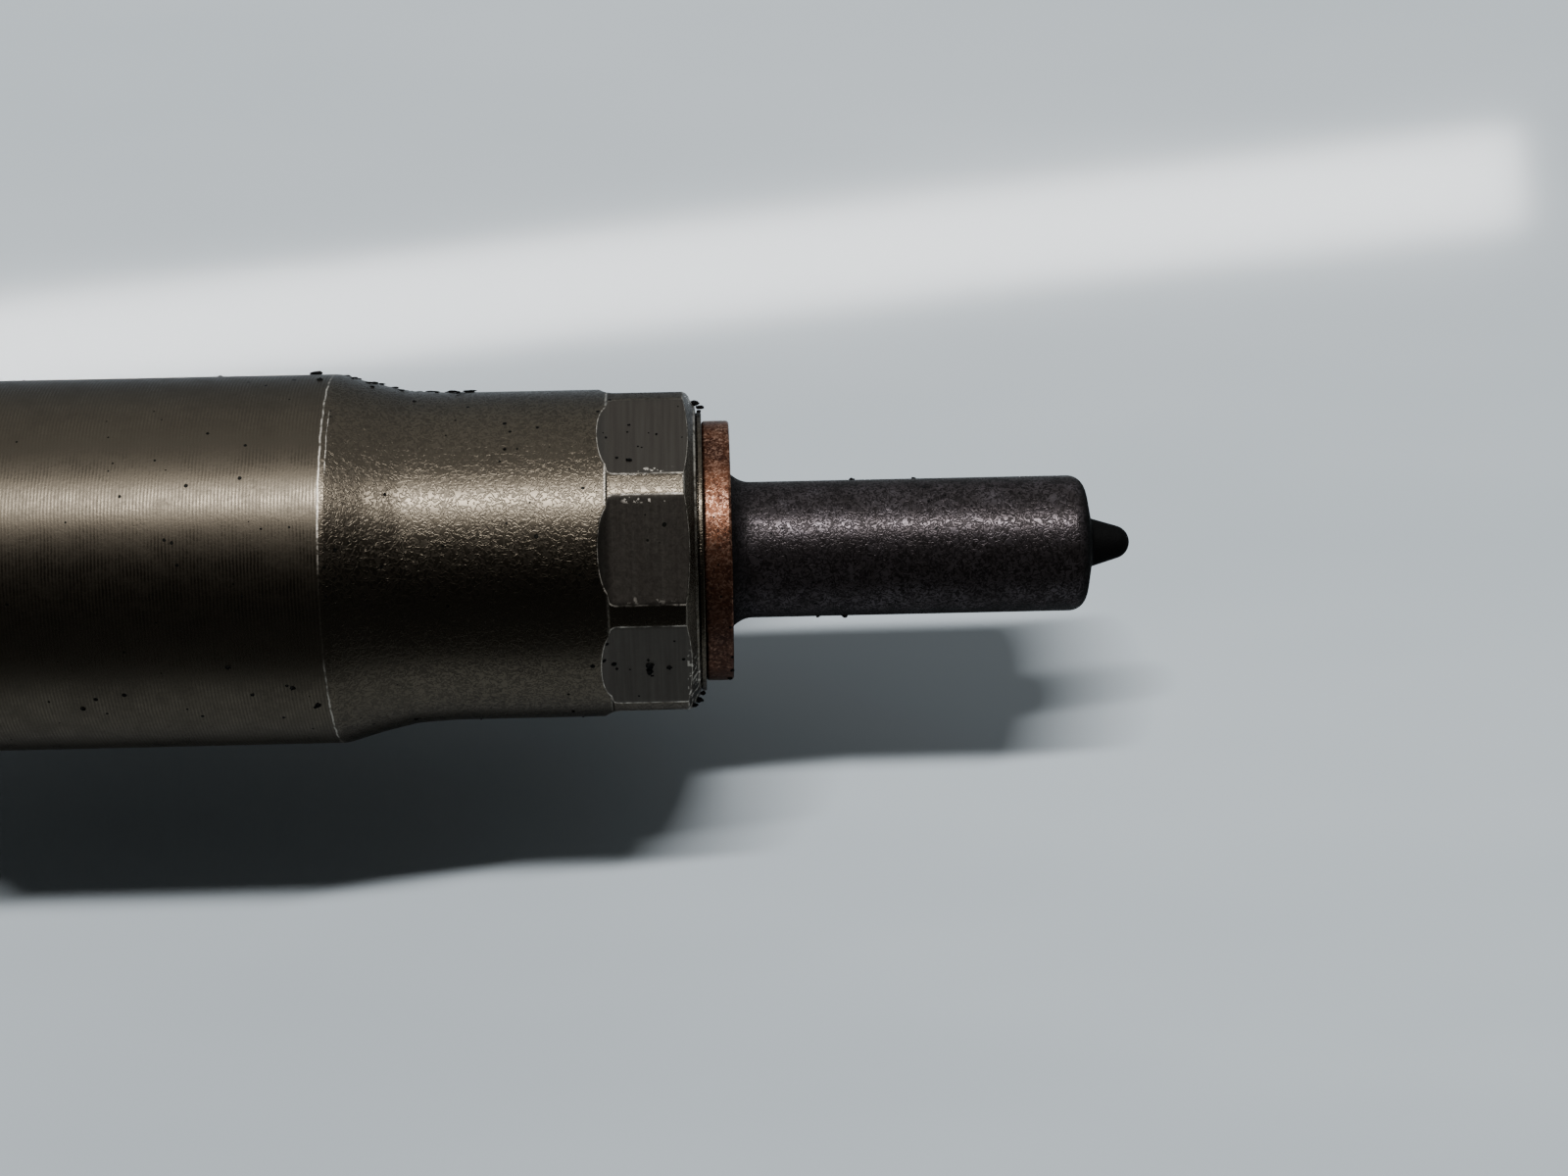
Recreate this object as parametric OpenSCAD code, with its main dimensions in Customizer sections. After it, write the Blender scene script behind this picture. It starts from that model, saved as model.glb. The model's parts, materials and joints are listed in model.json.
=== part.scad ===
// Common-rail diesel injector: a nozzle at the front end, a solenoid servo valve at the rear.
//
// The injector lies along X, with its nozzle tip towards +X and Z up. The origin is the centre
// of the sealing washer's seat face. Stations along the axis are written u, the distance from
// that face towards the rear, so x = -u. A clock angle of 0 is +Z and 90 is +Y.

/* [Nozzle] */
// Diameter of the nozzle stem
stem_d = 7; // [6.8:0.05:7.2]
// Distance from the seat face to the start of the stem's end radius
stem_l = 17.4; // [16:0.1:18.5]
// How far the conical tip stands out of the stem's end face
tip_l = 2.05; // [1.8:0.05:2.3]
// Number of spray holes
spray_holes = 7; // [5:1:9]
// Travel of the nozzle needle
needle_travel = 0.25; // [0.15:0.01:0.3]

/* [Sealing washer] */
// Outer diameter of the sealing washer
washer_d = 13.4; // [12.8:0.1:14]
// Thickness of the sealing washer
washer_t = 1.4; // [1:0.1:1.4]

/* [Nozzle nut] */
// Diameter of the nut over its thread
nut_d = 18.9; // [18.6:0.1:19.4]
// Diameter of the nut over the nozzle
nut_small_d = 16.8; // [16.6:0.1:17]
// Distance across the octagonal wrench flats
nut_flats = 16.1; // [16:0.1:16.4]
// Clock angle of the first wrench flat, set by how far the nut is screwed on
nut_clock = 29.5; // [0:0.5:44.5]

/* [Injector body] */
// Diameter of the shaft behind the nozzle nut
shaft_d = 17.5; // [17:0.1:18]
// Width across the two flats that the clamp fork straddles
fork_flats = 15; // [14:0.5:16]
// Diameter of the head that holds the servo valve
head_d = 24; // [23.6:0.1:25]

/* [Fuel inlet] */
// Diameter of the inlet connector's pipe thread
inlet_thread_d = 14; // [13:0.5:14]
// Hexagon of the inlet connector, across flats
inlet_hex = 17; // [16:0.5:18]

/* [Solenoid] */
// Hexagon of the solenoid nut, across flats
solenoid_hex = 25; // [24.6:0.2:27]
// Diameter of the return stub
return_d = 8.5; // [8.4:0.1:9]
// Width of the plug housing across its two terminals
plug_w = 16.5; // [15:0.5:18]
// How far the plug housing's mouth stands from the axis
plug_reach = 30; // [29:1:34]

/* [Hidden] */
$fn = 96;

// Gaps between a moving piece and its bore, and between faces that only rest on each other
running_gap = 0.02;
rest_gap = 0.01;
thread_gap = 0.03;

// Nozzle
stem_r = stem_d / 2;
stem_end_r = 0.88;
stem_face_slope = 11.5;
tip_base_r = 1.24;
tip_ball_r = 0.87;
tip_slope = 15.8;
neck_r = 3.95;
collar_r = 7.15;
u_collar = 5.6;
u_nozzle_top = 23.7;
guide_r = 2;
fuel_way_r = 1.75;
sac_r = 0.45;
seat_slope = 30;
spray_r = 0.07;
spray_slope = 75;
u_stem_end = -stem_l - stem_end_r * cos(stem_face_slope);
u_tip_base = u_stem_end - (stem_r - stem_end_r - tip_base_r) * tan(stem_face_slope);
u_tip = u_tip_base - tip_l;
u_sac = u_tip_base - 0.6;
u_seat_top = u_sac + (fuel_way_r - sac_r) / tan(seat_slope);

// Nozzle feed bore, from the top face down into the gallery round the needle
feed_offset = 5.75;
feed_r = 0.8;
u_gallery = 7;
dowel_r = 0.9;
dowel_offset = 5.4;
dowel_depth = 1.8;
dowel_clocks = [235, 330];

// Nozzle nut
u_nut_face = washer_t;
u_nut_top = 42.7;
nut_hole_r = 4.1;
nut_bore_r = collar_r + 0.07;
u_nut_step = 24.3;
nut_thread_r = 8;
octagon_r = nut_small_d / 2 + 0.1;
octagon_runout_r = 1.2;
u_octagon = u_nut_face + 4.35;
u_cone = 16.3;
u_edge = 19.85;

// Thrust piece, nozzle spring and its shim
spring_chamber_r = 3.6;
u_chamber_top = 52;
thrust_flange_r = 3.3;
needle_pin_r = 1.1;
u_needle_pin = 25;
u_thrust = u_needle_pin + rest_gap;
u_spring_seat = 26.6;
u_rod = 31;
shim_t = 1;
nozzle_spring_r = 2.85;
nozzle_wire_r = 0.6;

// Injector body
shaft_r = shaft_d / 2;
head_r = head_d / 2;
u_shaft = 43.2;
u_fork_cone = 74;
u_fork_seat = 88;
fork_seat_r = 10.5;
fork_neck_r = 9.2;
u_neck_top = 97;
u_head_top = 123.5;
u_body_top = 136;
solenoid_thread_r = 11.2;
rod_r = 2;
rod_bore_r = 2.4;
fuel_bore_r = 1;

// Servo valve seats in the body
u_valve_bottom = 107;
valve_shank_r = 4.6;
valve_bore_r = 5;
u_valve_flange = 120;
valve_flange_r = 7.25;
u_clamp_bore = 126.5;
clamp_r = 8.5;
u_valve_top = 125.5;
piston_r = 2.15;
control_bore_r = piston_r + running_gap;
u_piston_top = 120.85;
u_control_top = u_piston_top + needle_travel + 0.2;
ball_r = 0.67;
ball_seat_r = 0.35;
u_ball_seat = 125.9;
u_ball = u_ball_seat + ball_r * sqrt(2) - ball_seat_r + rest_gap;
leak_offset = 8.3;
leak_r = 0.55;
u_leak_cross = 103;
plug_ball_r = 1.2;

// Armature group
u_guide = 126.3;
u_guide_top = 128.3;
bolt_r = 1.98;
bolt_bore_r = bolt_r + running_gap;
guide_tube_r = 3.4;
u_tube_top = 134;
u_clamp_top = 132.8;
u_bolt = 127.92;
u_plate = 134.9;
u_plate_top = 137.1;
plate_r = 8.2;
clip_r = 2.75;
clip_groove_r = 1.5;
clip_t = 0.58;
u_bolt_top = 138.2;
spigot_r = 1.1;
armature_spring_r = 3.95;
armature_wire_r = 0.3;

// Solenoid
u_shim_top = 136.5;
sleeve_r = 10.9;
u_core = 137.25;
u_core_top = 148;
core_r = 8.9;
core_bore_r = 2.9;
coil_in_r = 4.9;
coil_out_r = 7.3;
u_coil_top = 143.5;
valve_spring_r = 1.6;
valve_wire_r = 0.4;
force_shim_t = 0.8;
u_sleeve_shoulder = 142.5;
sleeve_neck_r = 9.6;
u_stub_flange = 150;
u_sleeve_top = 151.2;
return_r = return_d / 2;
return_root_r = return_r + 0.3;
return_bore_r = 1.6;
u_return_end = 171;
u_nut_bottom = 125;
u_solenoid_nut_top = 145.5;
u_o_ring = 139.5;
o_ring_r = 0.79;

// Plug housing
u_plug_cap = 146.2;
u_plug_top = 159.5;
u_return_root = u_plug_top + 1.4;
cap_r = 11.5;
u_plug = 153;
plug_h = 13;
plug_wall = 1.5;
plug_corner = 2;
cavity_depth = 13.5;
terminal_pitch = 5.2;
blade_w = 2.2;
blade_t = 0.8;
terminal_leg_r = 0.45;
terminal_leg_y = 6.1;

// Fuel inlet, along +Y from the axis
u_inlet = 112;
boss_r = 8.4;
w_boss = 17;
inlet_screw_r = 6;
w_inlet_hole = 9.6;
inlet_ring_t = 1;
w_hex = w_boss + inlet_ring_t;
w_hex_top = 23.5;
w_thread = 25;
w_inlet_end = 37;
filter_r = 2.3;
w_filter = 20;
inlet_cone_r = 4.6;

// ---- Shared shapes ----

// Points of an arc about c, from one angle to another
function arc(c, r, from, to, n = 8) =
  [for (i = [0:n]) let (a = from + (to - from) * i / n) [c[0] + r * cos(a), c[1] + r * sin(a)]];

// Outline of a rectangle with round corners, centred
function round_rect(w, h, r) = concat(
  arc([w / 2 - r, h / 2 - r], r, 0, 90),
  arc([r - w / 2, h / 2 - r], r, 90, 180),
  arc([r - w / 2, r - h / 2], r, 180, 270),
  arc([w / 2 - r, r - h / 2], r, 270, 360)
);

// Puts a shape drawn along +Z onto the injector's axis, starting at station u
module on_axis(u = 0, clock = 0) {
  translate([-u, 0, 0]) rotate([0, -90, 0]) rotate([0, 0, clock]) children();
}

// A solid of revolution about the axis, from points [radius, u]
module turned(points) {
  on_axis() rotate_extrude() polygon(points);
}

// A ring or, with no inner radius, a disc
module ring(r_out, r_in, u0, u1) {
  turned([[r_in, u0], [r_out, u0], [r_out, u1], [r_in, u1]]);
}

// A round hole along the axis, or beside it
module bore(r, u0, u1, clock = 0, offset = 0) {
  on_axis(u0, clock) translate([offset, 0, 0]) cylinder(r = r, h = u1 - u0);
}

// Puts a shape drawn along +Z onto a radius of the injector at station u, pointing to +Y
module on_radius(u) {
  translate([-u, 0, 0]) rotate([-90, 0, 0]) children();
}

// A hexagonal bar with its ends chamfered, drawn along +Z
module hexagon(across, h, chamfer) {
  corner_r = across / sqrt(3);
  intersection() {
    rotate([0, 0, 30]) cylinder(r = corner_r, h = h, $fn = 6);
    rotate_extrude()
      polygon([
        [0, 0], [corner_r - chamfer, 0], [corner_r, chamfer * 0.6],
        [corner_r, h - chamfer * 0.6], [corner_r - chamfer, h], [0, h]
      ]);
  }
}

// Height of a spring's wire after t of its n turns: the end turns lie close, the rest is open
function coil_rise(t, n, rise, close) =
  t < 1 ? close * t
  : t > n - 1 ? rise - close * (n - t)
  : close + (t - 1) * (rise - 2 * close) / (n - 2);

// A compression spring along +Z, as a wire of a few sides swept round its turns
module coil_spring(r, wire_r, length, turns, sides = 6, steps = 16) {
  last = turns * steps;
  rise = length - 2 * wire_r;
  points = [
    for (i = [0:last], k = [0:sides - 1])
      let (
        t = i / steps,
        side = 360 * k / sides,
        out = r + wire_r * cos(side),
        z = wire_r + coil_rise(t, turns, rise, 2.04 * wire_r) + wire_r * sin(side)
      )
        [out * cos(360 * t), out * sin(360 * t), z]
  ];
  skin = [
    for (i = [0:last - 1], k = [0:sides - 1])
      let (a = i * sides + k, b = i * sides + (k + 1) % sides)
        [a, b, b + sides, a + sides]
  ];
  caps = [[for (k = [0:sides - 1]) sides - 1 - k], [for (k = [0:sides - 1]) last * sides + k]];
  polyhedron(points, concat(skin, caps));
}

// ---- Nozzle ----

module nozzle_outline() {
  tip_ball_u = u_tip + tip_ball_r;
  end_c = [stem_r - stem_end_r, -stem_l];
  polygon(concat(
    arc([0, tip_ball_u], tip_ball_r, -90, -tip_slope),
    [[tip_base_r, u_tip_base - 0.1], [tip_base_r + 0.14, u_tip_base]],
    arc(end_c, stem_end_r, stem_face_slope - 90, 0),
    arc([neck_r, -1.05], neck_r - stem_r, 180, 90, 5),
    [
      [neck_r, u_collar], [collar_r - 0.65, u_collar], [collar_r, u_collar + 0.9],
      [collar_r, u_nozzle_top - 0.3], [collar_r - 0.3, u_nozzle_top],
      [guide_r, u_nozzle_top], [guide_r, u_gallery + 4], [guide_r + 1, u_gallery + 3],
      [guide_r + 1, u_gallery + 1], [fuel_way_r, u_gallery], [fuel_way_r, u_seat_top],
      [sac_r, u_sac]
    ],
    arc([0, u_sac - 0.2], sac_r, 0, -90, 6)
  ));
}

module nozzle_body() {
  feed_run = u_nozzle_top - u_gallery - 2.2;
  feed_slope = atan((feed_offset - guide_r - 0.6) / feed_run);
  color([0.16, 0.15, 0.15])
    difference() {
      on_axis() rotate_extrude() nozzle_outline();
      on_axis(u_nozzle_top + 0.01, 90)
        translate([feed_offset, 0, 0])
          rotate([0, 180 + feed_slope, 0])
            cylinder(r = feed_r, h = feed_run / cos(feed_slope));
      for (clock = dowel_clocks)
        bore(dowel_r, u_nozzle_top - dowel_depth, u_nozzle_top + 1, clock, dowel_offset);
      for (i = [0:spray_holes - 1])
        on_axis(u_sac - 0.15, i * 360 / spray_holes)
          rotate([0, 180 - spray_slope, 0])
            translate([0, 0, 0.3])
              cylinder(r = spray_r, h = 1.3);
    }
}

module nozzle_needle() {
  cone_gap = rest_gap / cos(seat_slope);
  needle_r = 1.3;
  end_r = 0.2;
  function cone_u(r) = u_sac + (r - sac_r + cone_gap) / tan(seat_slope);
  color([0.72, 0.72, 0.7])
    turned([
      [0, cone_u(end_r)], [end_r, cone_u(end_r)], [needle_r, cone_u(needle_r)],
      [needle_r, u_gallery], [guide_r - running_gap, u_gallery + 1.4],
      [guide_r - running_gap, u_nozzle_top - 0.6], [guide_r - 0.2, u_nozzle_top - 0.35],
      [needle_pin_r, u_nozzle_top - 0.35], [needle_pin_r, u_needle_pin - 0.2],
      [needle_pin_r - 0.2, u_needle_pin], [0, u_needle_pin]
    ]);
}

module sealing_washer() {
  edge = 0.14;
  outer = washer_d / 2;
  color([0.6, 0.33, 0.2])
    turned(concat(
      [[neck_r + 0.1, 0]],
      arc([outer - edge, edge], edge, -90, 0, 4),
      arc([outer - edge, washer_t - edge], edge, 0, 90, 4),
      [[neck_r + 0.1, washer_t]]
    ));
}

module nozzle_nut() {
  small_r = nut_small_d / 2;
  big_r = nut_d / 2;
  face_r = 7.2;
  flat_r = nut_flats / 2;
  color([0.33, 0.31, 0.27])
    difference() {
      turned([
        [nut_hole_r, u_nut_face], [face_r - 0.08, u_nut_face], [face_r, u_nut_face + 0.08],
        [face_r, u_nut_face + 0.2], [face_r - 0.2, u_nut_face + 0.26],
        [face_r + 0.25, u_nut_face + 0.34], [face_r + 0.72, u_nut_face + 0.56],
        [octagon_r, u_nut_face + 0.93], [octagon_r, u_octagon + 0.28],
        [small_r, u_octagon + 0.42], [small_r, u_cone - 0.4], [small_r + 0.03, u_cone],
        [small_r + 0.12, u_cone + 0.4], [big_r - 0.03, u_edge - 0.12], [big_r, u_edge],
        [big_r, u_nut_top - 0.5], [big_r - 0.5, u_nut_top],
        [nut_thread_r + thread_gap + 0.4, u_nut_top], [nut_thread_r + thread_gap, u_nut_top - 0.4],
        [nut_thread_r + thread_gap, u_nut_step + 0.5], [nut_bore_r, u_nut_step],
        [nut_bore_r, u_collar + 0.85], [nut_bore_r - 0.62, u_collar], [nut_hole_r, u_collar]
      ]);
      for (i = [0:7])
        on_axis(0, nut_clock + i * 45)
          translate([flat_r, 0, 0]) {
            translate([0, -5, 0]) cube([3, 10, u_octagon]);
            translate([octagon_runout_r, 0, u_octagon])
              rotate([90, 0, 0])
                cylinder(r = octagon_runout_r, h = 10, center = true);
          }
    }
}

module dowel_pins() {
  color([0.7, 0.7, 0.7])
    for (clock = dowel_clocks)
      bore(dowel_r - rest_gap, u_nozzle_top - dowel_depth + 0.05, u_nozzle_top + dowel_depth - 0.05,
        clock, dowel_offset);
}

module thrust_piece() {
  color([0.66, 0.66, 0.64])
    turned([
      [0, u_thrust], [thrust_flange_r - 0.2, u_thrust], [thrust_flange_r, u_thrust + 0.2],
      [thrust_flange_r, u_spring_seat], [2.1, u_spring_seat], [2.1, 28.8], [1.6, 29.3],
      [1.6, u_rod - rest_gap], [0, u_rod - rest_gap]
    ]);
}

module nozzle_spring() {
  gap = 2 * rest_gap;
  color([0.55, 0.56, 0.58])
    on_axis(u_spring_seat + gap)
      coil_spring(nozzle_spring_r, nozzle_wire_r,
        u_chamber_top - shim_t - u_spring_seat - 2 * gap, 10);
}

module spring_shim() {
  color([0.7, 0.7, 0.68]) ring(spring_chamber_r - 0.1, rod_bore_r, u_chamber_top - shim_t, u_chamber_top);
}

// ---- Injector body ----

// A turned body with the inlet boss forged onto its head
module body_blank() {
  turned([
    [0, u_nozzle_top], [collar_r - 0.2, u_nozzle_top], [collar_r, u_nozzle_top + 0.2],
    [collar_r, u_nut_step + 1], [nut_thread_r, u_nut_step + 1.8], [nut_thread_r, 40.5],
    [7.6, 40.9], [7.6, 42.6], [7.9, u_shaft], [shaft_r - 0.4, u_shaft],
    [shaft_r, u_shaft + 0.4], [shaft_r, u_fork_cone], [shaft_r + 0.2, u_fork_cone + 1],
    [fork_seat_r - 0.2, u_fork_cone + 5], [fork_seat_r, u_fork_cone + 6],
    [fork_seat_r, u_fork_seat - 0.4], [fork_seat_r - 0.4, u_fork_seat],
    [fork_neck_r, u_fork_seat], [fork_neck_r, u_neck_top - 0.6], [fork_neck_r + 0.4, u_neck_top],
    [head_r - 0.6, u_neck_top + 2.6], [head_r, u_neck_top + 3.6], [head_r, u_head_top - 0.7],
    [head_r - 0.7, u_head_top], [solenoid_thread_r - 0.3, u_head_top],
    [solenoid_thread_r - 0.3, u_head_top + 0.9], [solenoid_thread_r, u_head_top + 1.2],
    [solenoid_thread_r, u_body_top - 0.6], [solenoid_thread_r - 0.6, u_body_top],
    [0, u_body_top]
  ]);
  on_radius(u_inlet)
    rotate_extrude()
      polygon([[0, 0], [boss_r, 0], [boss_r, w_boss - 0.6], [boss_r - 0.6, w_boss], [0, w_boss]]);
}

// Stepped central bore: spring chamber, rod bore and the servo valve's seats
module body_bore() {
  turned([
    [0, u_nozzle_top - 1], [spring_chamber_r, u_nozzle_top - 1],
    [spring_chamber_r, u_chamber_top], [rod_bore_r, u_chamber_top],
    [rod_bore_r, u_valve_bottom], [valve_bore_r, u_valve_bottom],
    [valve_bore_r, u_valve_flange], [valve_flange_r + 0.05, u_valve_flange],
    [valve_flange_r + 0.05, u_clamp_bore], [clamp_r, u_clamp_bore],
    [clamp_r, u_body_top + 1], [0, u_body_top + 1]
  ]);
}

module injector_body() {
  color([0.36, 0.35, 0.33])
    difference() {
      body_blank();
      body_bore();
      bore(fuel_bore_r, u_nozzle_top - 1, u_inlet, 90, feed_offset);
      on_radius(u_inlet) {
        cylinder(r = fuel_bore_r, h = w_inlet_hole + 1);
        translate([0, 0, w_inlet_hole]) cylinder(r = inlet_screw_r, h = 20);
      }
      bore(leak_r, u_leak_cross, u_clamp_bore + 1, 270, leak_offset);
      on_radius(u_leak_cross) {
        rotate([180, 0, 0]) cylinder(r = leak_r, h = 14);
        translate([0, 0, -14]) cylinder(r = plug_ball_r + rest_gap, h = 4.4);
      }
      for (side = [-1, 1])
        translate([-u_neck_top, -15, side > 0 ? fork_flats / 2 : -fork_flats / 2 - 5])
          cube([u_neck_top - u_fork_seat, 30, 5]);
      for (clock = dowel_clocks)
        bore(dowel_r, u_nozzle_top - 1, u_nozzle_top + dowel_depth, clock, dowel_offset);
    }
}

module leak_plug_ball() {
  color([0.75, 0.75, 0.75])
    translate([-u_leak_cross, -10.7, 0])
      sphere(r = plug_ball_r);
}

module control_piston() {
  rod_end_u = u_valve_bottom - 1;
  color([0.7, 0.7, 0.7])
    turned([
      [0, u_rod], [rod_r - 0.3, u_rod], [rod_r, u_rod + 0.3], [rod_r, rod_end_u - 0.3],
      [piston_r, rod_end_u], [piston_r, u_piston_top - 0.2], [piston_r - 0.2, u_piston_top],
      [0, u_piston_top]
    ]);
}

// ---- Servo valve ----

module valve_piece() {
  inlet_throttle_slope = 51;
  color([0.68, 0.67, 0.64])
    difference() {
      turned([
        [0, 108.2], [valve_shank_r - 0.3, 108.2], [valve_shank_r, 108.5],
        [valve_shank_r, u_valve_flange], [valve_flange_r, u_valve_flange],
        [valve_flange_r, u_valve_top - 0.3], [valve_flange_r - 0.3, u_valve_top],
        [3.4, u_valve_top], [2.5, u_guide - 0.05], [0, u_guide - 0.05]
      ]);
      turned([
        [0, 107], [control_bore_r, 107], [control_bore_r, u_control_top],
        [0.15, u_control_top + 0.4], [0.15, 124], [ball_seat_r, 124.2],
        [ball_seat_r, u_ball_seat], [ball_seat_r + 0.6, u_ball_seat + 0.6],
        [0, u_ball_seat + 0.6]
      ]);
      on_axis(u_control_top - 0.2, 90)
        rotate([0, 180 - inlet_throttle_slope, 0])
          translate([0, 0, 1])
            cylinder(r = 0.15, h = 5.5);
    }
}

module valve_seal_ring() {
  color([0.78, 0.7, 0.5]) ring(4.8, 2.7, u_valve_bottom, 108.2);
}

module valve_ball() {
  color([0.8, 0.8, 0.82]) translate([-u_ball, 0, 0]) sphere(r = ball_r);
}

module ball_guide() {
  pocket_u = u_ball + ball_r + rest_gap;
  color([0.7, 0.7, 0.7])
    turned([
      [ball_r + 0.05, 126.62], [1.3, 126.62], [1.3, u_bolt - rest_gap - 0.15],
      [1.15, u_bolt - rest_gap], [0, u_bolt - rest_gap], [0, pocket_u],
      [ball_r + 0.05, pocket_u]
    ]);
}

module lift_shim() {
  color([0.75, 0.74, 0.7]) ring(7.1, 4.9, u_valve_top, u_guide);
}

module armature_guide() {
  color([0.7, 0.69, 0.66])
    difference() {
      turned([
        [4.7, u_guide], [7.1, u_guide], [7.1, u_guide_top], [guide_tube_r, u_guide_top],
        [guide_tube_r, u_tube_top - 0.2], [guide_tube_r - 0.2, u_tube_top],
        [bolt_bore_r, u_tube_top], [bolt_bore_r, 128], [4.7, 127.8]
      ]);
      for (i = [0:3])
        bore(0.55, 126, 129, i * 90, 4.05);
    }
}

module valve_clamp_nut() {
  color([0.5, 0.49, 0.46])
    difference() {
      ring(clamp_r - thread_gap, 5.2, u_guide_top, u_clamp_top);
      for (i = [0:3])
        bore(1.1, u_guide_top - 1, u_clamp_top + 1, 45 + i * 90, clamp_r);
    }
}

// ---- Armature ----

module armature_bolt() {
  color([0.74, 0.74, 0.74])
    turned([
      [0, u_bolt], [bolt_r - 0.4, u_bolt], [bolt_r, u_bolt + 0.4], [bolt_r, u_plate_top + 0.01],
      [clip_groove_r, u_plate_top + 0.01], [clip_groove_r, u_plate_top + clip_t + 0.05],
      [bolt_r, u_plate_top + clip_t + 0.05], [bolt_r, u_bolt_top], [spigot_r, u_bolt_top],
      [spigot_r, u_bolt_top + 1.3], [spigot_r - 0.3, u_bolt_top + 1.6], [0, u_bolt_top + 1.6]
    ]);
}

module armature_plate() {
  slots = 6;
  color([0.45, 0.44, 0.43])
    difference() {
      turned([
        [bolt_r + running_gap, u_plate - 0.4], [2.9, u_plate - 0.4], [3.4, u_plate],
        [plate_r - 0.3, u_plate], [plate_r, u_plate + 0.3], [plate_r, u_plate_top - 0.3],
        [plate_r - 0.3, u_plate_top], [bolt_r + running_gap, u_plate_top]
      ]);
      for (i = [0:slots - 1])
        on_axis(u_plate - 1, i * 360 / slots)
          translate([4.6, -0.6, 0])
            cube([5, 1.2, 5]);
    }
}

module armature_clip() {
  gap_w = 2 * clip_groove_r + 0.1;
  color([0.6, 0.6, 0.6])
    difference() {
      ring(clip_r, clip_groove_r + 0.03, u_plate_top + 0.02, u_plate_top + clip_t);
      on_axis(u_plate_top - 1, 90)
        translate([0, -gap_w / 2, 0])
          cube([5, gap_w, 4]);
    }
}

module armature_spring() {
  gap = 2 * rest_gap;
  color([0.55, 0.56, 0.58])
    on_axis(u_guide_top + gap)
      coil_spring(armature_spring_r, armature_wire_r, u_plate - u_guide_top - 2 * gap, 5);
}

// ---- Solenoid ----

module air_gap_shim() {
  color([0.76, 0.75, 0.72]) ring(solenoid_thread_r - 0.7, 8.95, u_body_top, u_shim_top);
}

module magnet_core() {
  color([0.3, 0.3, 0.31])
    difference() {
      turned([
        [core_bore_r, u_core], [coil_in_r, u_core], [coil_in_r, u_coil_top],
        [coil_out_r, u_coil_top], [coil_out_r, u_core], [core_r, u_core], [core_r, u_core_top],
        [core_bore_r, u_core_top]
      ]);
      for (side = [-1, 1])
        terminal_way(side, u_coil_top - 1, u_core_top + 1);
    }
}

// Hole for one terminal's leg
module terminal_way(side, u0, u1) {
  translate([-u1, -terminal_leg_y, side * terminal_pitch / 2])
    rotate([0, 90, 0])
      cylinder(r = 2 * terminal_leg_r, h = u1 - u0);
}

module coil_bobbin() {
  inner = coil_in_r + 0.05;
  outer = coil_out_r - 0.05;
  wall = 0.4;
  color([0.85, 0.8, 0.68])
    turned([
      [inner, u_core + 0.1], [outer, u_core + 0.1], [outer, u_core + 0.1 + wall],
      [inner + wall, u_core + 0.1 + wall], [inner + wall, u_coil_top - 0.1 - wall],
      [outer, u_coil_top - 0.1 - wall], [outer, u_coil_top - 0.1], [inner, u_coil_top - 0.1]
    ]);
}

module coil_winding() {
  color([0.7, 0.36, 0.16]) ring(coil_out_r - 0.15, coil_in_r + 0.5, u_core + 0.55, u_coil_top - 0.55);
}

module valve_spring() {
  gap = 2 * rest_gap;
  color([0.55, 0.56, 0.58])
    on_axis(u_bolt_top + gap)
      coil_spring(valve_spring_r, valve_wire_r,
        u_core_top - force_shim_t - u_bolt_top - 2 * gap, 7);
}

module spring_force_shim() {
  color([0.75, 0.74, 0.7]) ring(core_bore_r - 0.1, 0.9, u_core_top - force_shim_t, u_core_top);
}

module magnet_sleeve() {
  inner = core_r + 0.03;
  color([0.58, 0.57, 0.54])
    turned([
      [inner, u_shim_top], [sleeve_r - 0.3, u_shim_top], [sleeve_r, u_shim_top + 0.3],
      [sleeve_r, u_o_ring - 1.1], [sleeve_r - 1.3, u_o_ring - 1.1],
      [sleeve_r - 1.3, u_o_ring + 1.1], [sleeve_r, u_o_ring + 1.1],
      [sleeve_r, u_sleeve_shoulder], [sleeve_neck_r, u_sleeve_shoulder],
      [sleeve_neck_r, u_sleeve_top - 0.4], [sleeve_neck_r - 0.4, u_sleeve_top],
      [7.6, u_sleeve_top], [7.6, u_stub_flange + 0.02], [inner, u_stub_flange + 0.02]
    ]);
}

module magnet_o_ring() {
  color([0.1, 0.1, 0.1])
    on_axis(u_o_ring)
      rotate_extrude()
        translate([sleeve_r - 1.28 + o_ring_r, 0]) circle(r = o_ring_r);
}

module return_stub() {
  groove_u = u_return_end - 4;
  color([0.62, 0.61, 0.58])
    difference() {
      turned([
        [return_bore_r, u_core_top], [core_r, u_core_top], [core_r, u_stub_flange],
        [return_root_r, u_stub_flange], [return_root_r, u_return_root],
        [return_r, u_return_root + 0.3], [return_r, groove_u - 1.2], [return_r - 0.8, groove_u - 0.8],
        [return_r - 0.8, groove_u + 0.8], [return_r, groove_u + 1.2],
        [return_r, u_return_end - 0.9], [return_r - 0.7, u_return_end],
        [return_bore_r + 0.4, u_return_end], [return_bore_r, u_return_end - 0.4]
      ]);
      for (side = [-1, 1])
        terminal_way(side, u_core_top - 1, u_stub_flange + 1);
    }
}

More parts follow.
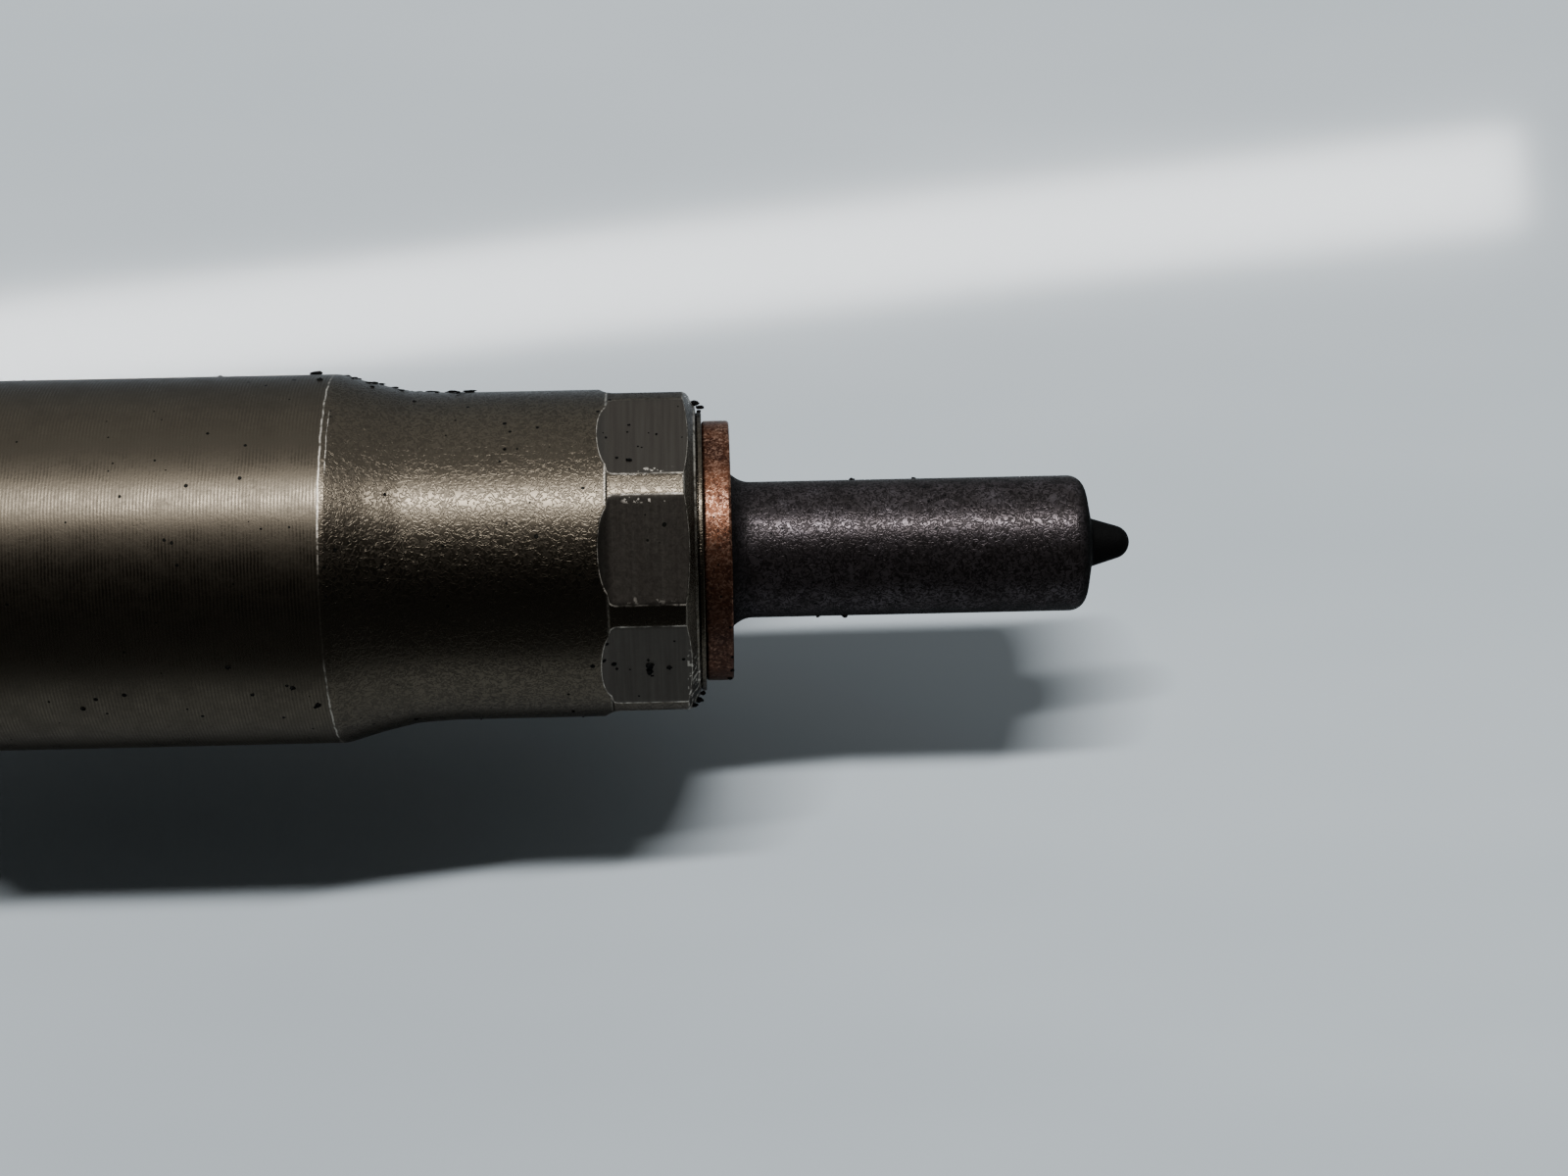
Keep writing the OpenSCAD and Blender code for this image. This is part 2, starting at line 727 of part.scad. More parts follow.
module solenoid_nut() {
  thread_r = solenoid_thread_r + thread_gap;
  color([0.42, 0.41, 0.38])
    difference() {
      on_axis(u_nut_bottom)
        hexagon(solenoid_hex, u_solenoid_nut_top - u_nut_bottom, 1.4);
      turned([
        [0, u_nut_bottom - 1], [thread_r + 0.4, u_nut_bottom - 1],
        [thread_r + 0.4, u_nut_bottom], [thread_r, u_nut_bottom + 0.4],
        [thread_r, u_sleeve_shoulder + 0.01], [sleeve_neck_r + 0.08, u_sleeve_shoulder + 0.01],
        [sleeve_neck_r + 0.08, u_solenoid_nut_top + 1], [0, u_solenoid_nut_top + 1]
      ]);
    }
}

// Plug housing, drawn along +Z from the axis to its mouth
module plug_shell() {
  linear_extrude(height = plug_reach)
    polygon(round_rect(plug_h, plug_w, plug_corner));
  // Latch ramp, and a stiffening rib on each narrow side
  translate([plug_h / 2 - 0.5, -2.4, plug_reach - 9])
    rotate([-90, 0, 0])
      linear_extrude(height = 4.8)
        polygon([[0, 0], [2.1, 0], [0.5, -5], [0, -5]]);
  for (side = [-1, 1])
    translate([-plug_h / 2 + 2.4, side > 0 ? plug_w / 2 - 0.2 : -plug_w / 2 - 0.8, 8])
      cube([1.4, 1, plug_reach - 14]);
}

module plug_cavity() {
  translate([0, 0, plug_reach - cavity_depth])
    linear_extrude(height = cavity_depth + 1)
      polygon(round_rect(plug_h - 2 * plug_wall, plug_w - 2 * plug_wall, plug_corner - 0.7));
  // Coding groove along one wall of the cavity
  translate([-plug_h / 2 + 0.7, -1, plug_reach - cavity_depth + 3])
    cube([1.2, 2, cavity_depth]);
}

// One terminal: a blade in the plug and a leg down to the coil, with room all round it
module terminal(side, room = 0) {
  z = side * terminal_pitch / 2;
  blade_end = plug_reach - 4.5;
  translate([-u_plug - blade_t / 2 - room, -blade_end - room, z - blade_w / 2 - room])
    cube([blade_t + 2 * room, blade_end - terminal_leg_y + terminal_leg_r + 2 * room,
      blade_w + 2 * room]);
  translate([-u_plug, -terminal_leg_y, z])
    rotate([0, 90, 0])
      cylinder(r = terminal_leg_r + room, h = u_plug - u_coil_top - 0.02 + room);
}

module connector_housing() {
  color([0.09, 0.09, 0.1])
    difference() {
      union() {
        turned([
          [0, u_plug_cap], [cap_r - 0.4, u_plug_cap], [cap_r, u_plug_cap + 0.4],
          [cap_r, u_plug_top - 1.5], [cap_r - 0.5, u_plug_top - 0.5],
          [cap_r - 1.5, u_plug_top], [return_r + 2.2, u_plug_top], [return_r + 1.6, u_return_root],
          [0, u_return_root]
        ]);
        translate([-u_plug, 0, 0]) rotate([90, 0, 0]) plug_shell();
      }
      turned([
        [0, u_plug_cap - 1], [sleeve_neck_r + 0.02, u_plug_cap - 1],
        [sleeve_neck_r + 0.02, u_sleeve_top + 0.02], [return_root_r + 0.03, u_sleeve_top + 0.02],
        [return_root_r + 0.03, u_plug_top + 3], [0, u_plug_top + 3]
      ]);
      translate([-u_plug, 0, 0]) rotate([90, 0, 0]) plug_cavity();
      for (side = [-1, 1])
        terminal(side, rest_gap);
    }
}

module terminal_pins() {
  color([0.8, 0.75, 0.6])
    for (side = [-1, 1])
      terminal(side);
}

// ---- Fuel inlet ----

module inlet_seal_ring() {
  color([0.62, 0.58, 0.52])
    on_radius(u_inlet)
      translate([0, 0, w_boss])
        difference() {
          cylinder(r = 8, h = inlet_ring_t);
          translate([0, 0, -1]) cylinder(r = inlet_screw_r + 0.2, h = inlet_ring_t + 2);
        }
}

module inlet_connector() {
  screw_r = inlet_screw_r - thread_gap;
  thread_r = inlet_thread_d / 2;
  color([0.6, 0.58, 0.5])
    on_radius(u_inlet)
      difference() {
        union() {
          rotate_extrude()
            polygon([
              [0, w_inlet_hole + 0.4], [screw_r - 0.6, w_inlet_hole + 0.4],
              [screw_r, w_inlet_hole + 1], [screw_r, w_hex + 1], [0, w_hex + 1]
            ]);
          translate([0, 0, w_hex]) hexagon(inlet_hex, w_hex_top - w_hex, 0.9);
          rotate_extrude()
            polygon([
              [0, w_hex_top - 1], [thread_r - 1, w_hex_top - 1], [thread_r - 1, w_thread - 0.6],
              [thread_r, w_thread], [thread_r, w_inlet_end - 0.9],
              [thread_r - 0.9, w_inlet_end], [0, w_inlet_end]
            ]);
        }
        rotate_extrude()
          polygon([
            [0, w_boss - 10], [1.2, w_boss - 10], [1.2, w_filter], [filter_r, w_filter],
            [filter_r, w_inlet_end - (inlet_cone_r - filter_r) / tan(30)],
            [inlet_cone_r, w_inlet_end], [inlet_cone_r, w_inlet_end + 1], [0, w_inlet_end + 1]
          ]);
      }
}

module edge_filter() {
  length = 12;
  grooves = 8;
  rod = filter_r - rest_gap;
  color([0.66, 0.65, 0.62])
    on_radius(u_inlet)
      translate([0, 0, w_filter + 0.05])
        difference() {
          cylinder(r = rod, h = length);
          // Grooves run in from the two ends by turns, so fuel crosses the narrow lands between
          for (i = [0:grooves - 1])
            rotate([0, 0, i * 360 / grooves])
              translate([rod, 0, i % 2 == 0 ? -1 : 2])
                cylinder(r = 0.5, h = length - 1);
        }
}

nozzle_body();
nozzle_needle();
sealing_washer();
nozzle_nut();
dowel_pins();
thrust_piece();
nozzle_spring();
spring_shim();
injector_body();
leak_plug_ball();
control_piston();
valve_piece();
valve_seal_ring();
valve_ball();
ball_guide();
lift_shim();
armature_guide();
valve_clamp_nut();
armature_bolt();
armature_plate();
armature_clip();
armature_spring();
air_gap_shim();
magnet_core();
coil_bobbin();
coil_winding();
valve_spring();
spring_force_shim();
magnet_sleeve();
magnet_o_ring();
return_stub();
solenoid_nut();
connector_housing();
terminal_pins();
inlet_seal_ring();
inlet_connector();
edge_filter();
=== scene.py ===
"""Looks of a common-rail diesel injector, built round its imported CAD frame.

Everything is in metres in the CAD's frame: the axis is X, the nozzle tip points to +X, the fuel
inlet to +Y, and Z is up. Stations along the axis are written u, in millimetres, the distance
from the sealing washer's seat face towards the rear, so x = -u. Sizes in sections are in
millimetres as well; a clock angle of 0 is +Z and 90 degrees is +Y.
"""

import json
import math
import random

import bmesh
import bpy
import numpy as np
from mathutils import Matrix, Vector


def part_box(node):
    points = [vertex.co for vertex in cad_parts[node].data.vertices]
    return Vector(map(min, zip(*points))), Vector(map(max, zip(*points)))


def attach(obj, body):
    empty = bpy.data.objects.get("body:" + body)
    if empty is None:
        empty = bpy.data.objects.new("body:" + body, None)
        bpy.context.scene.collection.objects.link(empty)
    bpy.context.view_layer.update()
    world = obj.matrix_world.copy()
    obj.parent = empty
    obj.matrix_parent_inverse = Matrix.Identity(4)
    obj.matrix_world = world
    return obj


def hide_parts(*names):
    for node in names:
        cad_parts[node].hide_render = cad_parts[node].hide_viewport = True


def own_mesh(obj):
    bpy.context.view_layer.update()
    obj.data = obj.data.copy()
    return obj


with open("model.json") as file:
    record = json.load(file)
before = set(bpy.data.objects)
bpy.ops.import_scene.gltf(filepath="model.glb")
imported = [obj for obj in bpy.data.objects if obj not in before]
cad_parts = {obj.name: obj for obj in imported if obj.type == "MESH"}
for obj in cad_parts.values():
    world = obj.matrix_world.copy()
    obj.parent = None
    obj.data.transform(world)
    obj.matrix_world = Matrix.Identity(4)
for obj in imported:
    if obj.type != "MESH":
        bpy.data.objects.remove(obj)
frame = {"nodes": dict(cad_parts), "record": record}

MM = 0.001
TAU = 2 * math.pi
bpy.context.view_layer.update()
RECORD = frame["record"]
MOUNTS = {m["name"]: m for m in RECORD["mounts"]}
NUT_EDGE_U = 19.85  # station of the nozzle nut's worn edge, where its cone meets its cylinder
PLUG_U = 153.0  # station of the plug's own axis
MERGE = 1e-7  # points closer than this, in metres, are one point
STEP = 1e-3  # keeps two corners of a square step in a section apart, in millimetres


# ---- Sizes read from the frame ----

def span(node, axis=0, sign=1):
    """Lowest and highest place of a CAD node along an axis, in millimetres."""
    low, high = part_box(node)
    ends = sorted((sign * low[axis] / MM, sign * high[axis] / MM))
    return ends[0], ends[1]


def stations(node):
    """Front and rear station of a CAD node."""
    return span(node, axis=0, sign=-1)


def radius_of(node):
    """Outer radius of a turned CAD node on the axis."""
    return span(node, axis=2)[1]


def mount_radius(name):
    """Radius of a round mount, in millimetres."""
    return MOUNTS[name]["dims"]["r_mm"]


# ---- Meshes ----

def rounded(corners, steps=4):
    """An outline's points. A corner is (r, u), or (r, u, fillet) to be rounded."""
    points = []
    for i, corner in enumerate(corners):
        here = np.array(corner[:2], float)
        fillet = corner[2] if len(corner) > 2 else 0
        if not fillet:
            points.append(here)
            continue
        back = np.array(corners[i - 1][:2], float) - here
        ahead = np.array(corners[(i + 1) % len(corners)][:2], float) - here
        len_back, len_ahead = np.linalg.norm(back), np.linalg.norm(ahead)
        back, ahead = back / len_back, ahead / len_ahead
        half = math.acos(max(-1.0, min(1.0, float(back @ ahead)))) / 2
        room = 0.48 * min(len_back, len_ahead)
        cut = min(fillet / math.tan(half), room)
        middle = back + ahead
        centre = here + middle / np.linalg.norm(middle) * cut / math.cos(half)
        start, end = here + back * cut - centre, here + ahead * cut - centre
        a0 = math.atan2(start[1], start[0])
        turn = (math.atan2(end[1], end[0]) - a0 + math.pi) % TAU - math.pi
        reach = np.linalg.norm(start)
        for k in range(steps + 1):
            a = a0 + turn * k / steps
            points.append(centre + reach * np.array([math.cos(a), math.sin(a)]))
    return points


def refined(points, step, low, high, outside=0.0):
    """The outline with extra points, at most step apart, where low < u < high and r > outside."""
    out = []
    for a, b in zip(points, points[1:] + points[:1]):
        out.append(a)
        n = int(np.linalg.norm(b - a) / step)
        extra = [a + (b - a) * k / (n + 1) for k in range(1, n + 1)]
        out += [p for p in extra if low < p[1] < high and p[0] > outside]
    return out


def on_axis(r, u, angle):
    """A point at radius r and station u, at a clock angle in radians."""
    return (-u * MM, r * math.sin(angle) * MM, r * math.cos(angle) * MM)


def on_inlet(r, w, angle):
    """A point at radius r about the inlet's own axis, w from the injector's axis."""
    x = MOUNTS["fuel_inlet"]["pos_m"][0]
    return (x + r * math.cos(angle) * MM, w * MM, r * math.sin(angle) * MM)


def add_object(name, data):
    """Puts a new object with this data in the scene."""
    obj = bpy.data.objects.new(name, data)
    bpy.context.scene.collection.objects.link(obj)
    return obj


def add_bmesh(name, work):
    """Puts a finished bmesh in the scene, and frees it."""
    mesh = bpy.data.meshes.new(name)
    work.to_mesh(mesh)
    work.free()
    return add_object(name, mesh)


def mesh_object(name, points, faces):
    """A new object from points in metres, with doubled points merged and normals facing out."""
    mesh = bpy.data.meshes.new(name)
    mesh.from_pydata(points, [], faces)
    work = bmesh.new()
    work.from_mesh(mesh)
    bmesh.ops.remove_doubles(work, verts=work.verts, dist=MERGE)
    bmesh.ops.dissolve_degenerate(work, edges=work.edges, dist=MERGE / 10)
    bmesh.ops.recalc_face_normals(work, faces=work.faces)
    work.to_mesh(mesh)
    work.free()
    return add_object(name, mesh)


def ring_faces(rings, steps, closed):
    """Faces between rings of points, and between the last and the first if closed."""
    faces = []
    for i in range(rings if closed else rings - 1):
        j = (i + 1) % rings
        for k in range(steps):
            m = (k + 1) % steps
            faces.append((i * steps + k, i * steps + m, j * steps + m, j * steps + k))
    return faces


def turned(name, points, steps=160, shape=None, place=on_axis):
    """A turned solid from its closed section. shape(r, u, angle) may change a radius."""
    spots = []
    for r, u in points:
        for k in range(steps):
            angle = TAU * k / steps
            spots.append(place(shape(r, u, angle) if shape else r, u, angle))
    return mesh_object(name, spots, ring_faces(len(points), steps, closed=True))


def lofted(name, rings):
    """A solid through rings of the same number of points, with both ends capped."""
    steps = len(rings[0])
    faces = ring_faces(len(rings), steps, closed=False)
    last = (len(rings) - 1) * steps
    faces.append(tuple(range(steps)))
    faces.append(tuple(last + k for k in reversed(range(steps))))
    return mesh_object(name, [p for ring in rings for p in ring], faces)


def swept_tube(name, path, r, sides=14):
    """A wire of radius r, in millimetres, along a path of points in millimetres."""
    path = np.array(path, float)
    ahead = np.gradient(path, axis=0)
    ahead /= np.linalg.norm(ahead, axis=1)[:, None]
    rings = []
    for spot, way in zip(path, ahead):
        out = spot * (0, 1, 1)
        out /= np.linalg.norm(out)
        side = np.cross(way, out)
        side /= np.linalg.norm(side)
        up = np.cross(side, way)
        ring = []
        for k in range(sides):
            a = TAU * k / sides
            ring.append(tuple((spot + r * (math.cos(a) * up + math.sin(a) * side)) * MM))
        rings.append(ring)
    return lofted(name, rings)


def soft_min(a, b, width):
    """The smaller of two radii, with a rounded change from one to the other."""
    h = max(0.0, width - abs(a - b)) / width
    return min(a, b) - h * h * width / 4


def smooth(obj, angle=35.0):
    """Smooth shading with sharp edges above an angle, and flat faces kept flat."""
    obj.data.shade_smooth()
    obj.data.set_sharp_from_angle(angle=math.radians(angle))
    weighted = obj.modifiers.new("weighted_normals", "WEIGHTED_NORMAL")
    weighted.keep_sharp = True
    return obj


def combine(obj, other, operation):
    """Joins or cuts obj with another solid, which is then removed."""
    step = obj.modifiers.new("combine", "BOOLEAN")
    step.operation = operation
    step.solver = "EXACT"
    step.object = other
    bpy.context.view_layer.update()
    graph = bpy.context.evaluated_depsgraph_get()
    mesh = bpy.data.meshes.new_from_object(obj.evaluated_get(graph))
    obj.modifiers.clear()
    obj.data = mesh
    bpy.data.objects.remove(other)
    return obj


def scored(obj, name, values):
    """Stores one number per vertex, for the material to read."""
    layer = obj.data.attributes.new(name, "FLOAT", "POINT")
    layer.data.foreach_set("value", np.asarray(values, np.float32))


def vertices_mm(obj):
    """A mesh's points as rows of x, y and z, in millimetres."""
    spots = np.zeros(len(obj.data.vertices) * 3)
    obj.data.vertices.foreach_get("co", spots)
    return spots.reshape(-1, 3) / MM


def finish_piece(obj, material, *nodes):
    """Gives a finished piece its material and the fixed body, in place of its CAD nodes."""
    obj.data.materials.clear()
    obj.data.materials.append(MATERIALS[material])
    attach(obj, "injector")
    if nodes:
        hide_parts(*nodes)


# ---- Materials ----

class Shader:
    """A material under construction: a principled shader and the nodes that feed it."""

    def __init__(self, name, metallic=1.0):
        self.material = bpy.data.materials.new(name)
        self.material.use_nodes = True
        self.tree = self.material.node_tree
        self.tree.nodes.clear()
        self.output = self.tree.nodes.new("ShaderNodeOutputMaterial")
        self.shader = self.tree.nodes.new("ShaderNodeBsdfPrincipled")
        self.tree.links.new(self.shader.outputs[0], self.output.inputs[0])
        self.shader.inputs["Metallic"].default_value = metallic
        self.place = self.node("ShaderNodeTexCoord").outputs["Object"]

    def node(self, kind, inputs=None, **settings):
        made = self.tree.nodes.new(kind)
        for key, value in settings.items():
            setattr(made, key, value)
        for key, value in (inputs or {}).items():
            self.feed(made.inputs[key], value)
        return made

    def feed(self, socket, value):
        """Links a socket to another one, or sets its own value."""
        if isinstance(value, bpy.types.NodeSocket):
            self.tree.links.new(value, socket)
        elif socket.type == "RGBA" and len(value) == 3:
            socket.default_value = (*value, 1.0)
        else:
            socket.default_value = value

    def set(self, **values):
        """Feeds the principled shader's inputs, with _ for a space in their names."""
        for key, value in values.items():
            self.feed(self.shader.inputs[key.replace("_", " ")], value)

    def stretched(self, x=1.0, y=1.0, z=1.0):
        scale = self.node("ShaderNodeVectorMath", {0: self.place, 1: (x, y, z)},
                          operation="MULTIPLY")
        return scale.outputs[0]

    def noise(self, per_mm, detail=3.0, roughness=0.55, distortion=0.0, place=None):
        inputs = {
            "Vector": place or self.place, "Scale": per_mm / MM, "Detail": detail,
            "Roughness": roughness, "Distortion": distortion,
        }
        return self.node("ShaderNodeTexNoise", inputs).outputs[0]

    def cells(self, per_mm, place):
        """Distance to the nearest of many scattered points."""
        inputs = {"Vector": place, "Scale": per_mm / MM}
        return self.node("ShaderNodeTexVoronoi", inputs).outputs["Distance"]

    def range(self, value, low, high, to_low=0.0, to_high=1.0):
        """Maps low to to_low and high to to_high, and clamps."""
        inputs = {"Value": value, "From Min": low, "From Max": high,
                  "To Min": to_low, "To Max": to_high}
        return self.node("ShaderNodeMapRange", inputs).outputs[0]

    def math(self, operation, a, b=0.0):
        return self.node("ShaderNodeMath", {0: a, 1: b}, operation=operation).outputs[0]

    def times(self, a, b):
        return self.math("MULTIPLY", a, b)

    def plus(self, a, b):
        return self.math("ADD", a, b)

    def mix(self, amount, a, b):
        made = self.node("ShaderNodeMix", data_type="RGBA")
        self.feed(made.inputs[0], amount)
        self.feed(made.inputs[6], a)
        self.feed(made.inputs[7], b)
        return made.outputs[2]

    def tone(self, value, *stops):
        """A colour ramp through (position, colour) stops."""
        made = self.node("ShaderNodeValToRGB", {0: value})
        ramp = made.color_ramp
        while len(ramp.elements) < len(stops):
            ramp.elements.new(0.5)
        for element, (position, colour) in zip(ramp.elements, stops):
            element.position = position
            element.color = (*colour, 1.0)
        return made.outputs[0]

    def axis(self, name):
        """One object coordinate in millimetres."""
        split = self.node("ShaderNodeSeparateXYZ", {0: self.place})
        return self.times(split.outputs[name], 1 / MM)

    def near(self, value, centre, half_width, soft=0.4):
        """1 where value is within half_width of centre, with a soft edge."""
        off = self.math("ABSOLUTE", self.math("SUBTRACT", value, centre))
        return self.range(off, half_width, half_width * (1 - soft))

    def most(self, *values):
        found = values[0]
        for value in values[1:]:
            found = self.math("MAXIMUM", found, value)
        return found

    def attribute(self, name):
        return self.node("ShaderNodeAttribute", attribute_name=name).outputs["Fac"]

    def bump(self, height, depth_mm, strength=1.0, under=None):
        inputs = {"Height": height, "Distance": depth_mm * MM, "Strength": strength}
        if under:
            inputs["Normal"] = under
        return self.node("ShaderNodeBump", inputs).outputs[0]


def specks(s, per_mm, size, seed=0.0):
    """1 on small scattered specks of irregular size and 0 between them."""
    place = s.node("ShaderNodeVectorMath", {0: s.place, 1: (seed, seed, seed)},
                   operation="ADD").outputs[0]
    wander = s.noise(per_mm * 2.3, 2.0, place=place)
    dots = s.cells(per_mm, place=place)
    rarity = s.noise(per_mm * 0.21, 2.0, place=place)
    reach = s.times(s.range(rarity, 0.42, 0.72), size)
    edge = s.math("SUBTRACT", dots, s.times(wander, 0.5 * size))
    return s.math("LESS_THAN", edge, reach)


def worms(s, per_mm, width=0.10):
    """0 on a fine network of winding lines, as shot blasting or scale leaves, and 1 between."""
    field = s.noise(per_mm, 1.0, 0.5, 1.0)
    return s.range(s.math("ABSOLUTE", s.math("SUBTRACT", field, 0.5)), 0.01, width)


def tool_lines(s, pitch_mm):
    """Even lines round the axis, one for each turn of a lathe's feed, from 0 to 1."""
    inputs = {"Vector": s.place, "Scale": 0.314 / pitch_mm / MM, "Distortion": 1.5,
              "Detail": 2.0, "Detail Scale": 0.6}
    return s.node("ShaderNodeTexWave", inputs, bands_direction="X").outputs["Fac"]


def turning_marks(s, per_mm):
    """Fine lines round the axis, as a lathe tool leaves."""
    return s.noise(per_mm, 2.0, 0.6, place=s.stretched(1.0, 0.03, 0.03))


def nut_wear_and_shade(s, along, up, gap):
    """1 where the phosphate is worn off the nut's edges, and 0 elsewhere; faded by height as
    painted shade where the edges turn from the light.
    """
    nicks = s.range(s.noise(2.4, 3.0), 0.40, 0.55, 0.15, 1.0)
    # The worn edge: a bright line with gaps on the cylinder's side, and a short fine one beside it
    wandering = s.plus(along, s.range(s.noise(1.3, 3.0), 0.2, 0.8, -0.04, 0.04))
    # Painted shade: the worn line fades out on the lower side, away from the light, comes back
    # faintly at the bottom as painted light, and dims near the top
    painted_shade_fade = s.most(s.range(up, -3.6, -2.4), s.range(up, -6.9, -7.4, 0.1, 0.55))
    line = s.times(s.near(wandering, -NUT_EDGE_U - 0.17, 0.05), painted_shade_fade)
    line = s.times(line, s.range(up, 7.0, 8.5, 1.0, 0.45))
    second = s.near(wandering, -NUT_EDGE_U + 0.12, 0.028)
    second = s.times(second, s.near(up, 3.5, 1.95, 0.3))
    second = s.times(second, s.range(s.axis("Z"), 0.0, 1.0))
    # Edges of the wrench flats and of the turned steps
    on_flats = s.near(along, -4.1, 1.35, 0.2)
    outline = s.times(s.near(gap, 0.0, 0.018), s.range(on_flats, 0.0, 1.0, 1.0, 0.4))
    # Painted shade: the outlines dim near the top, and the rims on the lower side, away from the
    # light
    outline = s.times(outline, s.range(up, 5.6, 6.3, 1.0, 0.1))
    rim = s.times(s.attribute("rim"), s.range(up, -2.0, 1.0, 0.25, 1.0))
    # Small bright dents along the flats' long edges, and a crumbled front edge
    height = s.math("ABSOLUTE", up)
    beads = s.times(s.near(gap, -0.05, 0.09), s.range(s.noise(3.6, 2.0), 0.60, 0.64))
    beads = s.times(beads, on_flats)
    beads = s.times(beads, s.range(height, 3.0, 5.2, 1.0, 0.0))
    crumbs = s.range(s.noise(3.2, 2.0), 0.55, 0.60)
    crumble = s.times(s.near(along, -2.0, 0.35, 0.1), crumbs)
    crumble = s.times(crumble, s.range(height, 6.4, 7.0, 0.0, 0.8))
    edges = s.times(s.most(outline, rim, second, line), nicks)
    return s.most(edges, beads, crumble)


def nut_steel():
    """Dark phosphated steel, blasted in front and turned behind, worn bright on its edges, the worn
    edges dimmed by painted shade.
    """
    s = Shader("nut_steel")
    along, up = s.axis("X"), s.axis("Y")
    blotch = s.noise(0.25, 4.0)
    grain = s.noise(5.0, 2.0, 0.6, 1.0)
    blasting = worms(s, 3.6)
    lines = tool_lines(s, 0.17)
    marks = turning_marks(s, 5.0)
    gap = s.attribute("gap")
    flat = s.range(gap, 0.012, -0.012)
    behind = s.range(along, -NUT_EDGE_U + 0.1, -NUT_EDGE_U - 0.3)
    uneven = s.range(s.noise(0.9, 3.0), 0.35, 0.65, 0.25, 1.0)
    turned_part = s.math("SUBTRACT", 1.0, flat)
    turned = s.plus(s.times(s.times(lines, uneven), 0.6), s.times(grain, 0.7))
    pattern = s.mix(behind, blasting, turned)
    base = s.mix(pattern, (0.046, 0.039, 0.030), (0.085, 0.071, 0.053))
    base = s.mix(s.range(blotch, 0.35, 0.7, 0.0, 0.3), base, (0.093, 0.079, 0.059))
    # Painted shade: the cone between the two cylinders is darkened, standing in for its dimmer
    # highlight
    cone = s.near(along, -17.9, 1.95, 0.1)
    base = s.mix(s.times(cone, 0.25), base, (0.050, 0.042, 0.032))
    milled = s.tone(marks, (0.35, (0.056, 0.049, 0.042)), (0.7, (0.069, 0.062, 0.053)))
    base = s.mix(flat, base, milled)
    worn = nut_wear_and_shade(s, along, up, gap)
    # Bright bare metal where the coat is worn, faded by height as painted shade
    base = s.mix(worn, base, (0.50, 0.46, 0.40))
    soot = specks(s, 1.0, 0.12)
    base = s.mix(soot, base, (0.008, 0.008, 0.007))
    s.set(Base_Color=base)
    dull = s.range(behind, 0.0, 1.0, 0.37, 0.47)
    depth = s.range(behind, 0.0, 1.0, 0.10, 0.20)
    shine = s.times(s.range(pattern, 0.1, 0.9), depth)
    rough = s.plus(s.times(s.math("SUBTRACT", dull, shine), turned_part),
                   s.times(s.range(grain, 0.3, 0.7, 0.36, 0.44), flat))
    rough = s.plus(rough, s.times(s.most(worn, soot), 0.15))
    s.set(Roughness=rough)
    s.set(Specular_Tint=(0.50, 0.51, 0.53))
    relief = s.bump(s.times(pattern, turned_part), 0.007, 0.7)
    relief = s.bump(s.times(marks, flat), 0.005, 0.5, relief)
    relief = s.bump(soot, 0.06, 0.6, relief)
    s.set(Normal=relief)
    return s.material


def nozzle_steel():
    """Tool steel baked brown-black by soot, with a silvery speckled sheen."""
    s = Shader("nozzle_steel", 0.7)
    mottle = s.noise(0.8, 4.0, 0.6)
    fine = s.noise(7.0, 2.0, 0.6, 1.0)
    scale = worms(s, 3.6, 0.12)
    crust = s.attribute("sooty")
    base = s.tone(mottle, (0.3, (0.034, 0.029, 0.029)), (0.5, (0.054, 0.046, 0.048)),
                  (0.72, (0.078, 0.068, 0.073)))
    base = s.mix(scale, (0.014, 0.012, 0.012), base)
    base = s.mix(crust, base, (0.007, 0.007, 0.007))
    soot = specks(s, 1.6, 0.13)
    base = s.mix(soot, base, (0.006, 0.006, 0.006))
    s.set(Base_Color=base)
    rough = s.plus(s.range(mottle, 0.3, 0.7, 0.30, 0.25), s.range(scale, 0.0, 1.0, 0.12, 0.0))
    s.set(Roughness=s.plus(rough, s.times(crust, 0.35)))
    s.set(Specular_Tint=(0.2, 0.2, 0.2), Specular_IOR_Level=0.12)
    relief = s.bump(fine, 0.008, 0.6)
    relief = s.bump(scale, 0.010, 0.7, relief)
    s.set(Normal=s.bump(soot, 0.05, 0.6, relief))
    return s.material


def copper():
    """A used copper washer: brown, blotched by soot, with bright scuffs, and painted shade on its
    side away from the light.
    """
    s = Shader("copper", 0.85)
    stain = s.noise(0.8, 4.0, 0.6)
    fine = s.noise(5.5, 3.0, 0.6, 1.0)
    base = s.tone(stain, (0.32, (0.040, 0.016, 0.010)), (0.55, (0.098, 0.039, 0.021)),
                  (0.78, (0.17, 0.070, 0.037)))
    base = s.mix(s.range(fine, 0.50, 0.68), base, (0.35, 0.20, 0.14))
    base = s.mix(s.range(fine, 0.44, 0.34), base, (0.028, 0.014, 0.011))
    # Painted shade: darker towards -Y, the side away from the light
    base = s.mix(s.range(s.axis("Y"), -1.5, -5.5, 0.0, 0.65), base, (0.030, 0.018, 0.015))
    soot = specks(s, 1.5, 0.14)
    base = s.mix(soot, base, (0.012, 0.009, 0.008))
    s.set(Base_Color=base)
    s.set(Roughness=s.range(fine, 0.3, 0.7, 0.45, 0.26))
    s.set(Specular_Tint=(0.4, 0.4, 0.4), Specular_IOR_Level=0.2)
    relief = s.bump(fine, 0.03, 0.6)
    s.set(Normal=s.bump(soot, 0.05, 0.5, relief))
    return s.material


